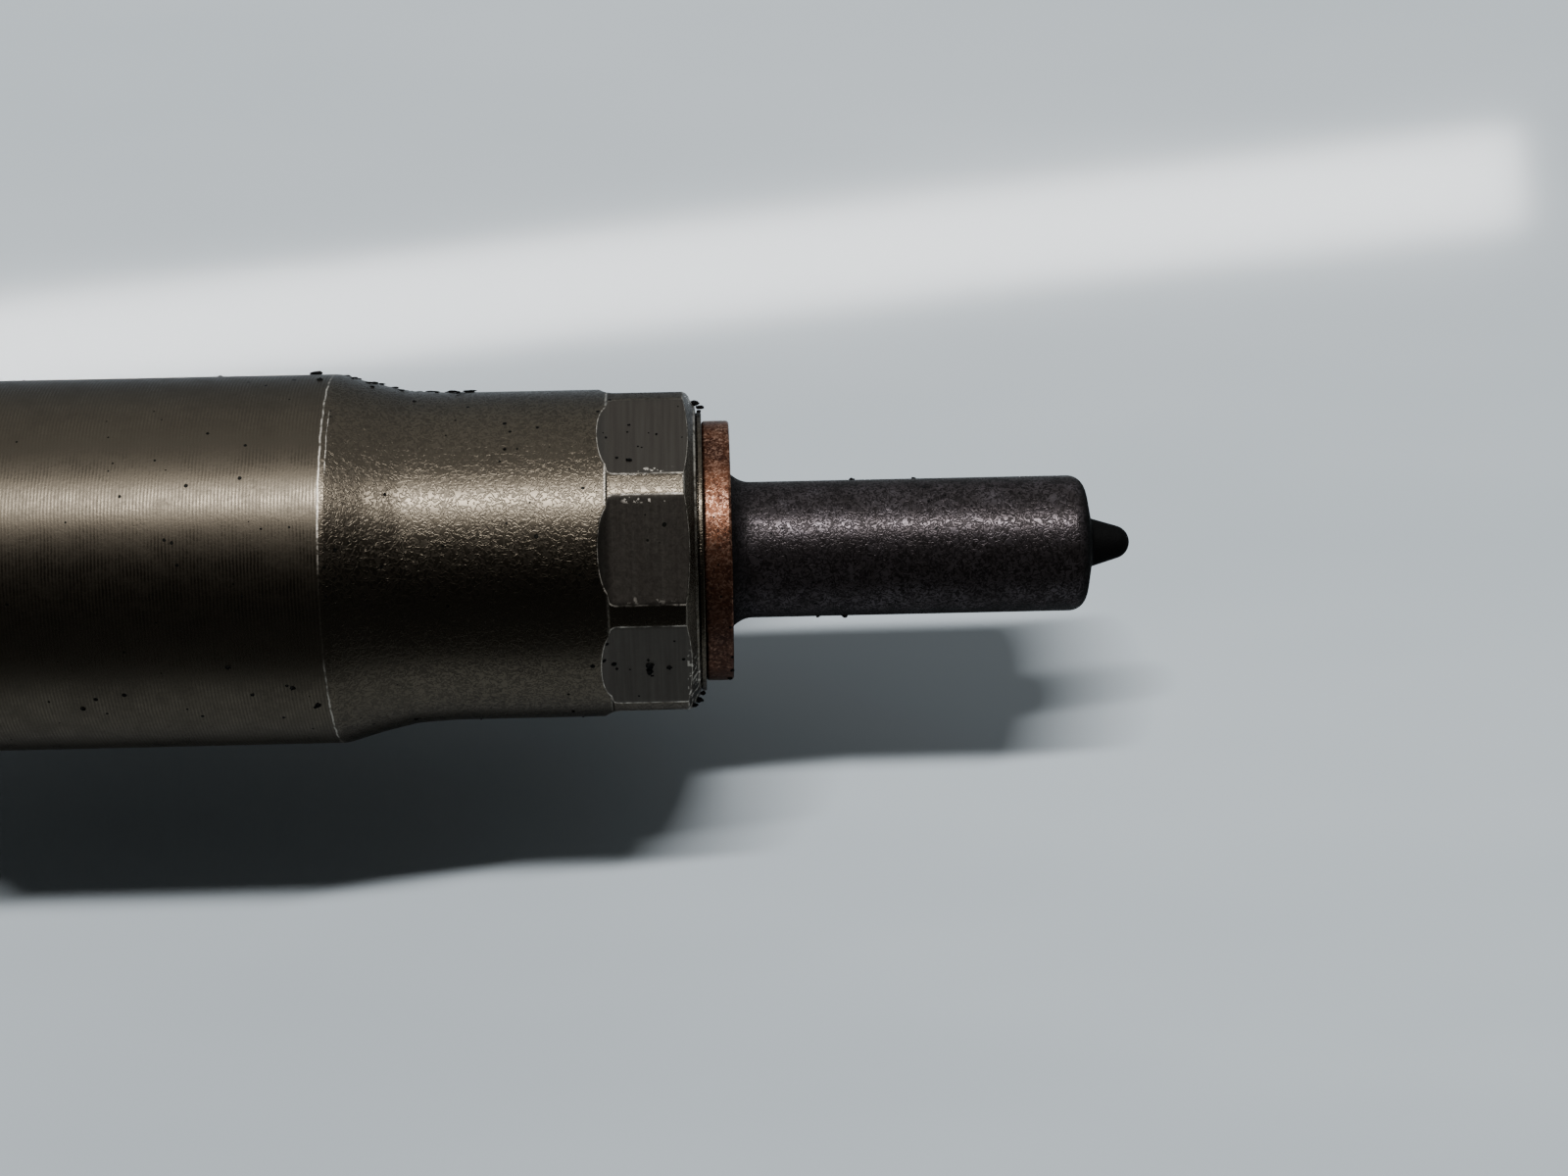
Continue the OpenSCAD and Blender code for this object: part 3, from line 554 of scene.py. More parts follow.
def body_steel():
    """Forged and machined steel with a grey phosphate coat, darker and rougher where forged."""
    s = Shader("body_steel")
    blotch = s.noise(0.12, 5.0, 0.6)
    grain = s.noise(3.6, 3.0, 0.6, 0.6)
    forged = s.attribute("forged")
    marks = turning_marks(s, 2.6)
    base = s.tone(blotch, (0.3, (0.12, 0.112, 0.096)), (0.7, (0.20, 0.19, 0.165)))
    base = s.mix(s.range(marks, 0.4, 0.75), base, (0.205, 0.195, 0.172))
    rough_forged = s.tone(grain, (0.35, (0.07, 0.065, 0.058)), (0.7, (0.135, 0.128, 0.115)))
    base = s.mix(forged, base, rough_forged)
    soot = specks(s, 0.7, 0.12, 0.03)
    base = s.mix(soot, base, (0.03, 0.026, 0.022))
    s.set(Base_Color=base)
    rough = s.plus(s.range(blotch, 0.3, 0.7, 0.34, 0.46), s.times(forged, 0.16))
    s.set(Roughness=rough)
    relief = s.bump(marks, 0.009, 0.5)
    relief = s.bump(s.times(grain, forged), 0.09, 0.6, relief)
    s.set(Normal=relief)
    return s.material


def plated_steel(name="plated_steel", tint=(0.52, 0.50, 0.44)):
    """Zinc-plated steel, dulled in use."""
    s = Shader(name)
    cloud = s.noise(0.35, 4.0, 0.6)
    fine = s.noise(4.0, 3.0, 0.6)
    dark = tuple(c * 0.62 for c in tint)
    base = s.tone(cloud, (0.3, dark), (0.7, tint))
    base = s.mix(specks(s, 0.8, 0.12, 0.05), base, (0.06, 0.05, 0.04))
    s.set(Base_Color=base)
    s.set(Roughness=s.range(cloud, 0.3, 0.7, 0.28, 0.44))
    s.set(Normal=s.bump(fine, 0.012, 0.5))
    return s.material


def ground_steel(name="ground_steel", tint=(0.56, 0.555, 0.54), roughness=0.2):
    """Bright ground steel with the fine rings of its grinding."""
    s = Shader(name)
    marks = turning_marks(s, 7.0)
    s.set(Base_Color=s.tone(marks, (0.3, tuple(c * 0.86 for c in tint)), (0.7, tint)))
    s.set(Roughness=s.range(marks, 0.3, 0.7, roughness, roughness + 0.1))
    s.set(Normal=s.bump(marks, 0.004, 0.4))
    return s.material


def plastic(name, colour, roughness=0.42):
    """Moulded plastic with a fine eroded texture."""
    s = Shader(name, metallic=0.0)
    skin = s.noise(6.0, 3.0, 0.6)
    cloud = s.noise(0.15, 3.0)
    lighter = tuple(min(1.0, c * 1.5 + 0.004) for c in colour)
    s.set(Base_Color=s.mix(s.range(cloud, 0.3, 0.75), colour, lighter))
    s.set(Roughness=s.range(skin, 0.3, 0.7, roughness, roughness + 0.16))
    s.set(Normal=s.bump(skin, 0.016, 0.5))
    return s.material


def rubber():
    """Black seal rubber, matt and a little uneven."""
    s = Shader("rubber", metallic=0.0)
    skin = s.noise(3.0, 3.0)
    s.set(Base_Color=s.tone(skin, (0.3, (0.012, 0.012, 0.012)), (0.7, (0.026, 0.026, 0.026))))
    s.set(Roughness=s.range(skin, 0.3, 0.7, 0.5, 0.65))
    s.set(Normal=s.bump(skin, 0.01, 0.4))
    return s.material


def sintered_iron():
    """Dark pressed iron powder with open pores."""
    s = Shader("sintered_iron")
    pores = s.noise(5.0, 4.0, 0.65)
    s.set(Base_Color=s.tone(pores, (0.35, (0.07, 0.07, 0.072)), (0.65, (0.17, 0.168, 0.165))))
    s.set(Roughness=s.range(pores, 0.3, 0.7, 0.6, 0.4))
    s.set(Normal=s.bump(pores, 0.03, 0.6))
    return s.material


def winding_wire():
    """Enamelled copper turns side by side, with painted shade in the grooves between them."""
    s = Shader("winding_wire")
    inputs = {"Vector": s.stretched(1.0, 0.0, 0.0), "Scale": 0.32 / MM, "Distortion": 0.0}
    turns = s.node("ShaderNodeTexWave", inputs, bands_direction="X").outputs["Fac"]
    # Painted shade: each turn is dark in the groove and bright on its crest
    s.set(Base_Color=s.tone(turns, (0.1, (0.16, 0.05, 0.02)), (0.8, (0.55, 0.23, 0.09))))
    s.set(Roughness=s.range(turns, 0.0, 1.0, 0.5, 0.25))
    s.set(Normal=s.bump(turns, 0.06, 1.0))
    return s.material


def floor_finish():
    """A pale glossy sheet, faintly streaked."""
    s = Shader("floor", metallic=0.0)
    streak = s.noise(0.05, 3.0, place=s.stretched(0.25, 1.0, 1.0))
    colour = s.tone(streak, (0.35, (0.565, 0.63, 0.675)), (0.65, (0.62, 0.685, 0.73)))
    s.set(Base_Color=colour)
    s.set(Roughness=s.range(streak, 0.3, 0.7, 0.055, 0.075), Specular_IOR_Level=0.095)
    return s.material


MATERIALS = {
    "nozzle_steel": nozzle_steel(),
    "nut_steel": nut_steel(),
    "copper": copper(),
    "body_steel": body_steel(),
    "plated_steel": plated_steel(),
    "bright_steel": ground_steel(),
    "needle_steel": ground_steel("needle_steel", (0.60, 0.60, 0.59), 0.14),
    "spring_steel": ground_steel("spring_steel", (0.36, 0.37, 0.385), 0.32),
    "magnet_iron": sintered_iron(),
    "winding": winding_wire(),
    "bobbin_plastic": plastic("bobbin_plastic", (0.62, 0.56, 0.43), 0.35),
    "seal_plastic": plastic("seal_plastic", (0.55, 0.45, 0.24), 0.3),
    "seal_rubber": rubber(),
    "housing_plastic": plastic("housing_plastic", (0.014, 0.014, 0.016)),
    "terminal_tin": plated_steel("terminal_tin", (0.66, 0.64, 0.57)),
}


# ---- Nozzle ----

def arc(centre, r, start, end, steps):
    """Points of an arc in a section, between two angles in degrees."""
    out = []
    for k in range(steps + 1):
        a = math.radians(start + (end - start) * k / steps)
        out.append(np.array([centre[0] + r * math.cos(a), centre[1] + r * math.sin(a)]))
    return out


def nozzle_body():
    """The nozzle's stem with its rounded end face and conical tip, and its collar in the nut."""
    front, rear = stations("nozzle_body")
    stem_r = mount_radius("nozzle_stem")
    collar_r = radius_of("nozzle_body")
    shoulder = stations("nozzle_nut")[0] + 4.2
    neck_r, end_u, end_r = 3.95, -17.4, 0.88  # end: where the stem's edge starts to round
    ball_r, cone_angle, foot_r, foot_u = 0.87, 15.8, 1.24, -18.64  # foot: where the tip grows out
    slope = math.radians(11.5)  # of the stem's end face
    section = arc((0, front + ball_r), ball_r, -90, -cone_angle, 10)
    section += rounded([
        (foot_r - 0.12, foot_u - 0.38), (foot_r, foot_u, 0.12), (foot_r + 0.1, foot_u + 0.08, 0.05),
        (stem_r - end_r, end_u - end_r / math.cos(slope) + 0.05),
    ])[1:-1]
    section += arc((stem_r - end_r, end_u), end_r, -78.5, 0, 10)
    for k in range(9):
        t = k / 8
        section.append(np.array([stem_r + (neck_r - stem_r) * t ** 2.2, -1.05 + 1.04 * t]))
    section += rounded([
        (neck_r, 0), (neck_r, shoulder), (collar_r - 0.65, shoulder, 0.1),
        (collar_r, shoulder + 0.9, 0.3), (collar_r, rear, 0.3), (2.0, rear, 0.15), (2.0, 11),
        (3.0, 10, 0.6), (3.0, 8, 0.6), (1.75, 7), (1.75, -16.89), (0.45, -19.14), (0.45, -19.34),
        (0, -19.79), (0, front),
    ])[1:-1]
    section = refined(section, 0.6, front, 0)
    obj = turned("nozzle_body", section, steps=192)
    x = vertices_mm(obj)[:, 0]
    # Soot is thickest on the tip and on the stem's end face, and again in the washer's corner
    on_end = np.clip((x - 17.6) / 0.5, 0, 1)
    in_corner = np.clip(1 - x / 1.6, 0, 1) * (x > -1) * 0.8
    scored(obj, "sooty", on_end + in_corner)
    smooth(obj)
    finish_piece(obj, "nozzle_steel", "nozzle_body")


def sealing_washer():
    """The copper ring, a little out of round from being clamped."""
    front, rear = stations("sealing_washer")
    outer, inner = radius_of("sealing_washer"), 4.05
    rng = random.Random(7)
    waves = [(n, rng.uniform(0, TAU), rng.uniform(0.2, 1.0)) for n in (2, 3, 5, 9, 14)]

    def dented(r, u, angle):
        dent = sum(size * math.cos(n * angle + phase) for n, phase, size in waves)
        return r + 0.006 * dent - 0.02 if r > 0.9 * outer else r

    section = rounded([
        (inner, front, 0.1), (outer, front, 0.16), (outer, rear, 0.16), (inner, rear, 0.1),
    ])
    obj = smooth(turned("sealing_washer", section, steps=192, shape=dented))
    finish_piece(obj, "copper", "sealing_washer")


class Octagon:
    """The nut's eight wrench flats, each ending to the rear in the cutter's own radius."""

    sides, clock = 8, math.radians(29.5)
    half_width, corner_r, runout_r = 8.05, 8.5, 1.2
    edge = 0.05

    def __init__(self, front):
        self.end = front + 4.35

    def radius(self, u, angle):
        """Radius of the flats at a place on the nut, or a huge one where there is none."""
        past = u - self.end
        if past >= self.runout_r:
            return 1e3
        depth = self.half_width
        if past > 0:
            depth += self.runout_r - math.sqrt(self.runout_r ** 2 - past ** 2)
        step = TAU / self.sides
        off = (angle - self.clock + step / 2) % step - step / 2
        return depth / math.cos(off)

    def cut(self, r, u, angle):
        return soft_min(r, self.radius(u, angle), self.edge) if r > 5 else r


def nozzle_nut():
    """The nut that clamps the nozzle: wrench flats, a waist, a cone and the threaded cylinder."""
    front, rear = stations("nozzle_nut")
    octagon = Octagon(front)
    big_r = mount_radius("shank")
    small_r, corner_r, face_r = 8.4, octagon.corner_r, 7.5
    face_u, corner_u, step_u = front + 0.42, front + 0.93, octagon.end + 0.42
    section = rounded([
        (4.1, front, 0.08), (7.2, front, 0.07), (7.2, front + 0.22, 0.03),
        (7.0, front + 0.27, 0.03), (7.43, front + 0.32, 0.06), (face_r, face_u, 0.05),
        (corner_r, corner_u, 0.12), (corner_r, step_u - 0.1, 0.04),
        (small_r, step_u, 0.04), (small_r, 14.2, 6.0), (8.51, 16.2, 3.0), (8.90, 17.9, 6.0),
        (big_r - 0.02, NUT_EDGE_U - 0.1, 0.05),
        (big_r, NUT_EDGE_U + 0.08, 0.05), (big_r, rear, 0.45), (8.03, rear, 0.35),
        (8.03, 24.8), (7.22, 24.3), (7.22, 6.45), (6.6, 5.6), (4.1, 5.6),
    ], steps=5)
    bore = 7.3
    flats_end = octagon.end + octagon.runout_r + 0.25
    section = refined(section, 0.075, front + 0.2, flats_end, outside=bore)
    section = refined(section, 0.22, 15.0, NUT_EDGE_U + 0.6, outside=bore)
    obj = turned("nozzle_nut", section, steps=480, shape=octagon.cut)
    spots = vertices_mm(obj)
    u, r = -spots[:, 0], np.hypot(spots[:, 1], spots[:, 2])
    angle = np.arctan2(spots[:, 1], spots[:, 2])
    flats = np.array([octagon.radius(a, b) for a, b in zip(u, angle)])
    # gap: how far the flats lie above the turned surface, so it is below 0 on the flats
    places = (face_u, corner_u, step_u - 0.1, step_u)
    turned_r = np.interp(u, places, (face_r, corner_r, corner_r, small_r))
    gap = np.where((r > 7) & (u > front + 0.3), np.minimum(flats - turned_r, 1.0), 1.0)
    scored(obj, "gap", gap)
    rim = 0.9 * np.exp(-((u - step_u) / 0.04) ** 2) + 0.6 * np.exp(-((u - corner_u) / 0.04) ** 2)
    front_rim = 0.6 * np.exp(-((r - 7.47) / 0.05) ** 2) * (u < front + 0.7)
    rim = rim * (gap > 0.02) + front_rim
    scored(obj, "rim", np.clip(rim, 0, 1) * (r > 6))
    smooth(obj, 50)
    finish_piece(obj, "nut_steel", "nozzle_nut")


def chips():
    """Crumbs and flakes of soot on the nozzle end."""
    places = [  # station, clock in degrees, radius, size, length as a multiple of the size
        (21.1, 74.5, 9.46, 0.33, 1.1), (26.0, 74.5, 9.47, 0.12, 1.0),
        (20.55, 56.5, 9.45, 0.15, 1.0), (19.7, 34.5, 9.38, 0.08, 1.2),
        (19.65, 32, 9.37, 0.07, 1.0), (15.8, 51, 8.45, 0.12, 1.2), (18.0, 59.5, 8.93, 0.10, 1.3),
        (16.9, 4.5, 8.63, 0.11, 1.2), (11.1, 22, 8.42, 0.08, 1.0), (17.7, -88, 8.75, 0.08, 1.0),
        (16.8, -87, 8.6, 0.08, 1.2), (16.2, -91, 8.48, 0.13, 1.3), (20.6, -66, 9.45, 0.14, 1.2),
        (20.75, -67, 9.45, 0.10, 1.0), (21.7, -58, 9.45, 0.13, 1.2),
        (21.95, -57, 9.45, 0.09, 1.0), (23.7, -60.5, 9.45, 0.10, 1.0),
        (24.7, -49.5, 9.45, 0.12, 1.3), (32.1, -65, 9.45, 0.14, 1.0), (27.4, 12, 9.43, 0.06, 1.0),
        (8.2, -88, 8.42, 0.09, 1.0), (5.0, 35.4, 8.08, 0.09, 1.0), (5.75, 50, 8.35, 0.08, 1.0),
        (4.55, 24, 8.08, 0.06, 1.0), (5.6, 18.4, 8.2, 0.08, 1.0), (5.0, 17.2, 8.25, 0.12, 1.5),
        (6.15, 28.5, 8.1, 0.08, 1.0), (6.5, 35, 8.25, 0.08, 1.0), (6.2, 25.5, 8.1, 0.07, 1.0),
        (6.3, 30.5, 8.15, 0.06, 1.0), (4.2, -61, 8.03, 0.25, 0.9), (4.22, -63.8, 8.03, 0.24, 0.8),
        (4.1, -66, 8.06, 0.10, 1.0), (5.85, -62, 8.0, 0.15, 1.0), (3.25, -62, 8.03, 0.16, 1.0),
        (5.2, -62.5, 8.03, 0.08, 1.0), (3.85, -86, 8.42, 0.10, 1.0), (2.85, -86, 8.42, 0.10, 1.2),
        (2.4, -80, 8.0, 0.14, 1.0), (1.75, 71, 7.6, 0.22, 1.3), (1.45, 68, 7.4, 0.15, 1.5),
        (2.15, 65, 7.95, 0.14, 1.0), (1.5, 59, 7.35, 0.12, 1.0), (1.8, -98, 7.7, 0.24, 1.0),
        (2.1, -92, 8.1, 0.16, 1.5), (1.6, -88, 7.6, 0.15, 1.0), (-6.3, 73, 3.5, 0.15, 1.0),
        (-9.5, 73, 3.5, 0.12, 1.0), (-5.8, -104, 3.5, 0.17, 1.0), (-4.4, -103, 3.5, 0.11, 1.0),
        (0.1, -82, 6.66, 0.12, 1.0), (0.2, -94, 6.68, 0.15, 1.0), (0.1, -70, 6.66, 0.09, 1.0),
    ]
    rng = random.Random(11)
    for k in range(46):
        u = rng.uniform(12.6, 19.7)
        r = 8.46 if u < 16.2 else 8.50 + (u - 16.2) * 0.26
        places.append((u, rng.uniform(62, 80), r, rng.uniform(0.05, 0.09), rng.uniform(1.5, 4.0)))
    for k in range(40):
        u = rng.choice((rng.uniform(6.5, 16), rng.uniform(20, 42), rng.uniform(2.4, 5.2)))
        r = 9.44 if u > 20 else 8.39 if u > 6 else 8.07
        places.append((u, rng.uniform(0, 360), r, rng.uniform(0.03, 0.07), 1.0))
    work = bmesh.new()
    for u, clock, r, size, length in places:
        turn = math.radians(clock)
        spot = Vector(on_axis(r, u, turn))
        out = Vector(on_axis(1.0, 0, turn)).normalized()
        along = Vector((1, 0, 0))
        to_row = Matrix((along, out.cross(along), out)).transposed()
        stretch = Vector((size * length, size * rng.uniform(0.6, 1.1), size * 0.7))
        for vert in bmesh.ops.create_icosphere(work, subdivisions=2, radius=1.0)["verts"]:
            lump = rng.uniform(0.7, 1.2)
            vert.co = spot + to_row @ (vert.co * stretch * lump * MM)
    obj = add_bmesh("soot_chips", work)
    scored(obj, "sooty", np.ones(len(obj.data.vertices)))
    finish_piece(obj, "nozzle_steel")


# ---- Body ----

def boss_blank(head_r):
    """The forged boss of the fuel inlet, flared where it grows out of the head."""
    radius, top, flare, steps = 8.4, span("inlet_seal_ring", axis=1)[0], 2.4, 96
    x = MOUNTS["fuel_inlet"]["pos_m"][0] / MM

    def head_y(z):
        return math.sqrt(head_r ** 2 - z ** 2)

    def ring(reach, height):
        points = []
        for k in range(steps):
            a = TAU * k / steps
            z = reach * math.sin(a)
            points.append(((x + reach * math.cos(a)) * MM, height(z, a) * MM, z * MM))
        return points

    rings = [ring(6.9, lambda z, a: 6.4)]
    for k in range(9):
        t = k / 8
        reach = radius + flare * (1 - t) ** 2

        def height(z, a, t=t):
            low = head_y((radius + flare) * math.sin(a)) - 0.06
            corner = head_y(radius * math.sin(a))
            high = corner + flare
            return (1 - t) ** 2 * low + 2 * t * (1 - t) * corner + t * t * high

        rings.append(ring(reach, height))
    for r, w in rounded([(radius, top - 2), (radius, top, 0.5), (4, top)])[1:-1]:
        rings.append(ring(r, lambda z, a, w=w: w))
    rings.append(ring(5.0, lambda z, a: top))
    return lofted("boss", rings)


def injector_body():
    """Shaft, clamp collar, neck with two flats for the fork, head with the inlet's boss, thread."""
    front, rear = stations("injector_body")
    head_r = radius_of("injector_body")
    seat_u = -MOUNTS["clamp_seat"]["pos_m"][0] / MM
    shaft_r, collar_r, neck_r, thread_r, flat_z = 8.75, 10.5, 9.2, 11.2, 7.5
    neck_end = seat_u + 9
    section = rounded([
        (3.6, front, 0.2), (7.15, front, 0.2), (7.15, 25.3), (8.0, 26.1), (8.0, 40.5),
        (7.6, 40.9), (7.6, 42.6),
        (7.9, 43.2), (shaft_r, 43.2, 0.35), (shaft_r, 74, 2.5), (collar_r, 79.5, 1.6),
        (collar_r, seat_u, 0.35), (neck_r, seat_u + STEP, 0.15), (neck_r, neck_end - STEP, 0.4),
        (neck_r + 0.5, neck_end, 0.3), (head_r, neck_end + 3.4, 1.4), (head_r, 123.5, 0.6),
        (10.9, 123.5, 0.1), (10.9, 124.4), (thread_r, 124.7), (thread_r, rear, 0.5),
        (8.5, rear, 0.3), (8.5, 126.5), (7.3, 126.5), (7.3, 120), (5.0, 120), (5.0, 107),
        (2.4, 107), (2.4, 52), (3.6, 52),
    ])

    def fork_flats(r, u, angle):
        if r < 7.4 or not seat_u < u < neck_end:
            return r
        return min(r, flat_z / max(1e-6, abs(math.cos(angle))))

    obj = turned("injector_body", section, steps=192, shape=fork_flats)
    obj = combine(obj, boss_blank(head_r), "UNION")
    hole_r, hole_low, hole_high = 6.0, 9.6, 20
    hole = [(0, hole_low), (hole_r, hole_low), (hole_r, hole_high), (0, hole_high)]
    obj = combine(obj, turned("hole", hole, steps=96, place=on_inlet), "DIFFERENCE")
    spots = vertices_mm(obj)
    u, r = -spots[:, 0], np.hypot(spots[:, 1], spots[:, 2])
    inlet_u = -MOUNTS["fuel_inlet"]["pos_m"][0] / MM
    boss = (spots[:, 1] > 8) & (np.abs(u - inlet_u) < 12)
    forged = ((u > 74.5) & (u < 79.2) | (u > seat_u + 0.2) & (u < neck_end + 4)) & (r > 7)
    scored(obj, "forged", np.clip(forged * 1.0 + boss * (spots[:, 1] < 16.3), 0, 1))
    smooth(obj, 40)
    finish_piece(obj, "body_steel", "injector_body")


# ---- Fuel inlet ----

def hexagon_radius(across, angle):
    """Radius of a hexagon whose flats face the clock angles 0, 60 and so on."""
    off = (angle + math.pi / 6) % (math.pi / 3) - math.pi / 6
    return across / 2 / math.cos(off)


def inlet_seal_ring():
    """The soft ring between the inlet's boss and its connector."""
    low, high = span("inlet_seal_ring", axis=1)
    outer, inner = span("inlet_seal_ring", axis=2)[1], 6.2
    section = rounded([
        (inner, low, 0.1), (outer, low, 0.3), (outer, high, 0.3), (inner, high, 0.1),
    ])
    obj = smooth(turned("inlet_seal_ring", section, place=on_inlet))
    finish_piece(obj, "plated_steel", "inlet_seal_ring")


def inlet_connector():
    """Hexagon and pipe thread, the thread as a real helix, with a 60 degree cone in its mouth."""
    low, end = span("inlet_connector", axis=1)
    thread_r = mount_radius("fuel_inlet")
    hex_low, hex_high, thread_low = 18.0, 23.5, 24.6
    across, pitch, depth = 17.0, 1.5, 0.92
    corner = across / math.sqrt(3)
    cone_u = end - 3.98
    section = rounded([
        (1.2, low, 0.2), (5.97, low, 0.5), (5.97, hex_low), (corner - 0.9, hex_low, 0.2),
        (corner, hex_low + 0.55, 0.3), (corner, hex_high - 0.55, 0.3),
        (corner - 0.9, hex_high, 0.2),
        (thread_r - 1.0, hex_high + 0.01, 0.2), (thread_r - 1.0, thread_low, 0.2),
        (thread_r, thread_low + 0.9), (thread_r, end - 0.9), (thread_r - 0.9, end, 0.1),
        (4.6, end, 0.15), (2.3, cone_u), (2.3, 20), (1.2, 20),
    ])
    section = refined(section, 0.11, thread_low, end)
    section = refined(section, 0.2, hex_low, hex_high)

    def shape(r, w, angle):
        if r > 6.5 and hex_low <= w <= hex_high:
            return soft_min(r, hexagon_radius(across, angle), 0.12)
        if r > 5.9 and w > thread_low:
            phase = (w / pitch - angle / TAU) % 1.0
            groove = min(1.0, max(0.0, abs(phase - 0.5) * 2 * 1.25 - 0.12))
            return min(r, thread_r - depth * (1 - groove))
        return r

    obj = smooth(turned("inlet_connector", section, steps=144, shape=shape, place=on_inlet), 50)
    finish_piece(obj, "plated_steel", "inlet_connector")


# ---- Solenoid ----

def solenoid_nut():
    """The hexagon nut that holds the solenoid, chamfered at both ends."""
    front, rear = stations("solenoid_nut")
    across = 2 * span("solenoid_nut", axis=2)[1]
    corner = across / math.sqrt(3)
    section = rounded([
        (11.63, front, 0.1), (corner - 1.6, front, 0.4), (corner, front + 0.95, 0.3),
        (corner, rear - 0.95, 0.3), (corner - 1.6, rear, 0.4), (9.68, rear, 0.25),
        (9.68, 142.51), (11.23, 142.51), (11.23, front + 0.4),
    ])
    section = refined(section, 0.3, front, front + 3)
    section = refined(section, 0.3, rear - 3, rear)

    def shape(r, u, angle):
        return soft_min(r, hexagon_radius(across, angle), 0.18) if r > 11.8 else r

    obj = smooth(turned("solenoid_nut", section, steps=360, shape=shape), 50)
    scored(obj, "forged", np.zeros(len(obj.data.vertices)))
    finish_piece(obj, "body_steel", "solenoid_nut")


def rounded_rectangle(width, height, corner, steps=6):
    """Points round a rectangle about (0, 0) with rounded corners."""
    points = []
    for cx, cy, start in ((1, 1, 0), (-1, 1, 90), (-1, -1, 180), (1, -1, 270)):
        centre = (cx * (width / 2 - corner), cy * (height / 2 - corner))
        points += arc(centre, corner, start, start + 90, steps)
    return points


def connector_housing():
    """The moulded cap over the solenoid, and the plug's shroud standing out of its side."""
    front, rear = stations("connector_housing")
    cap_r, cap_top, bore_r, bore_u = 11.5, 159.5, 9.62, 151.25
    reach = -span("connector_housing", axis=1)[0]
    stub_r = mount_radius("return_port")
    cap = turned("connector_housing", rounded([
        (bore_r, front, 0.2), (cap_r, front, 0.45), (cap_r, cap_top, 1.6),
        (stub_r + 2.3, cap_top, 0.8), (stub_r + 1.6, rear, 0.4), (stub_r + 0.33, rear, 0.15),
        (stub_r + 0.33, bore_u), (bore_r, bore_u),
    ]))
    width, height, wall, corner, depth, lip = 13.0, 16.5, 1.5, 2.0, 13.5, 0.35

    def ring(grow, y):
        shape = rounded_rectangle(width + 2 * grow, height + 2 * grow, max(0.4, corner + grow))
        return [((-PLUG_U + a) * MM, -y * MM, b * MM) for a, b in shape]

    # Out along the shroud, round its lip in two quarter turns, and in along the socket
    quarter = [k * TAU / 16 for k in range(5)]
    rings = [ring(0, 9.8), ring(0, reach - lip)]
    for a in quarter[1:]:
        rings.append(ring(-lip * (1 - math.cos(a)), reach - lip * (1 - math.sin(a))))
    for a in quarter[-2::-1]:
        rings.append(ring(-wall + lip * (1 - math.sin(a)), reach - lip * (1 - math.cos(a))))
    rings.append(ring(-wall, reach - lip - 0.1))
    rings.append(ring(-wall, reach - depth + 0.3))
    rings.append(ring(-wall - 0.3, reach - depth))
    shroud = lofted("shroud", rings)
    obj = combine(cap, shroud, "UNION")
    ramp = [(0, 0), (2.1, 0), (2.1, 0.6), (0.6, 5), (0, 5)]
    ramp_u, ramp_y, half_width = -PLUG_U + width / 2 - 0.4, reach - 4, 2.4
    latch = [[((ramp_u + a) * MM, (b - ramp_y) * MM, z * MM) for a, b in ramp]
             for z in (-half_width, half_width)]
    obj = combine(obj, lofted("latch", latch), "UNION")
    rib_shape = ((0, 0), (1.4, 0), (1.4, 0.85), (1.1, 1.1), (0.3, 1.1), (0, 0.85))
    rib_u, rib_z = -PLUG_U - width / 2 + 2.4, height / 2 - 0.3
    for side in (-1, 1):
        rib = [[((rib_u + a) * MM, -y * MM, side * (rib_z + b) * MM) for a, b in rib_shape]
               for y in (8.5, reach - 6)]
        obj = combine(obj, lofted("rib", rib), "UNION")
    bevel = obj.modifiers.new("edges", "BEVEL")
    bevel.width = 0.12 * MM
    bevel.segments = 2
    bevel.limit_method = "ANGLE"
    bevel.angle_limit = math.radians(50)
    smooth(obj, 40)
    finish_piece(obj, "housing_plastic", "connector_housing")


def return_stub():
    """The return hose's stub with its clip groove, on a thicker root inside the housing."""
    front, rear = stations("return_stub")
    stub_r = mount_radius("return_port")
    groove = rear - 4
    section = rounded([
        (1.6, front, 0.1), (8.9, front, 0.2), (8.9, 150, 0.3), (stub_r + 0.3, 150, 0.2),
        (stub_r + 0.3, 160.9), (stub_r, 161.2),
        (stub_r, groove - 1.2, 0.15), (stub_r - 0.8, groove - 0.8, 0.2),
        (stub_r - 0.8, groove + 0.8, 0.2), (stub_r, groove + 1.2, 0.25),
        (stub_r, rear - 0.9, 0.3), (stub_r - 0.8, rear, 0.3), (1.6, rear, 0.4),
    ])
    obj = smooth(turned("return_stub", section, steps=128))
    finish_piece(obj, "plated_steel", "return_stub")


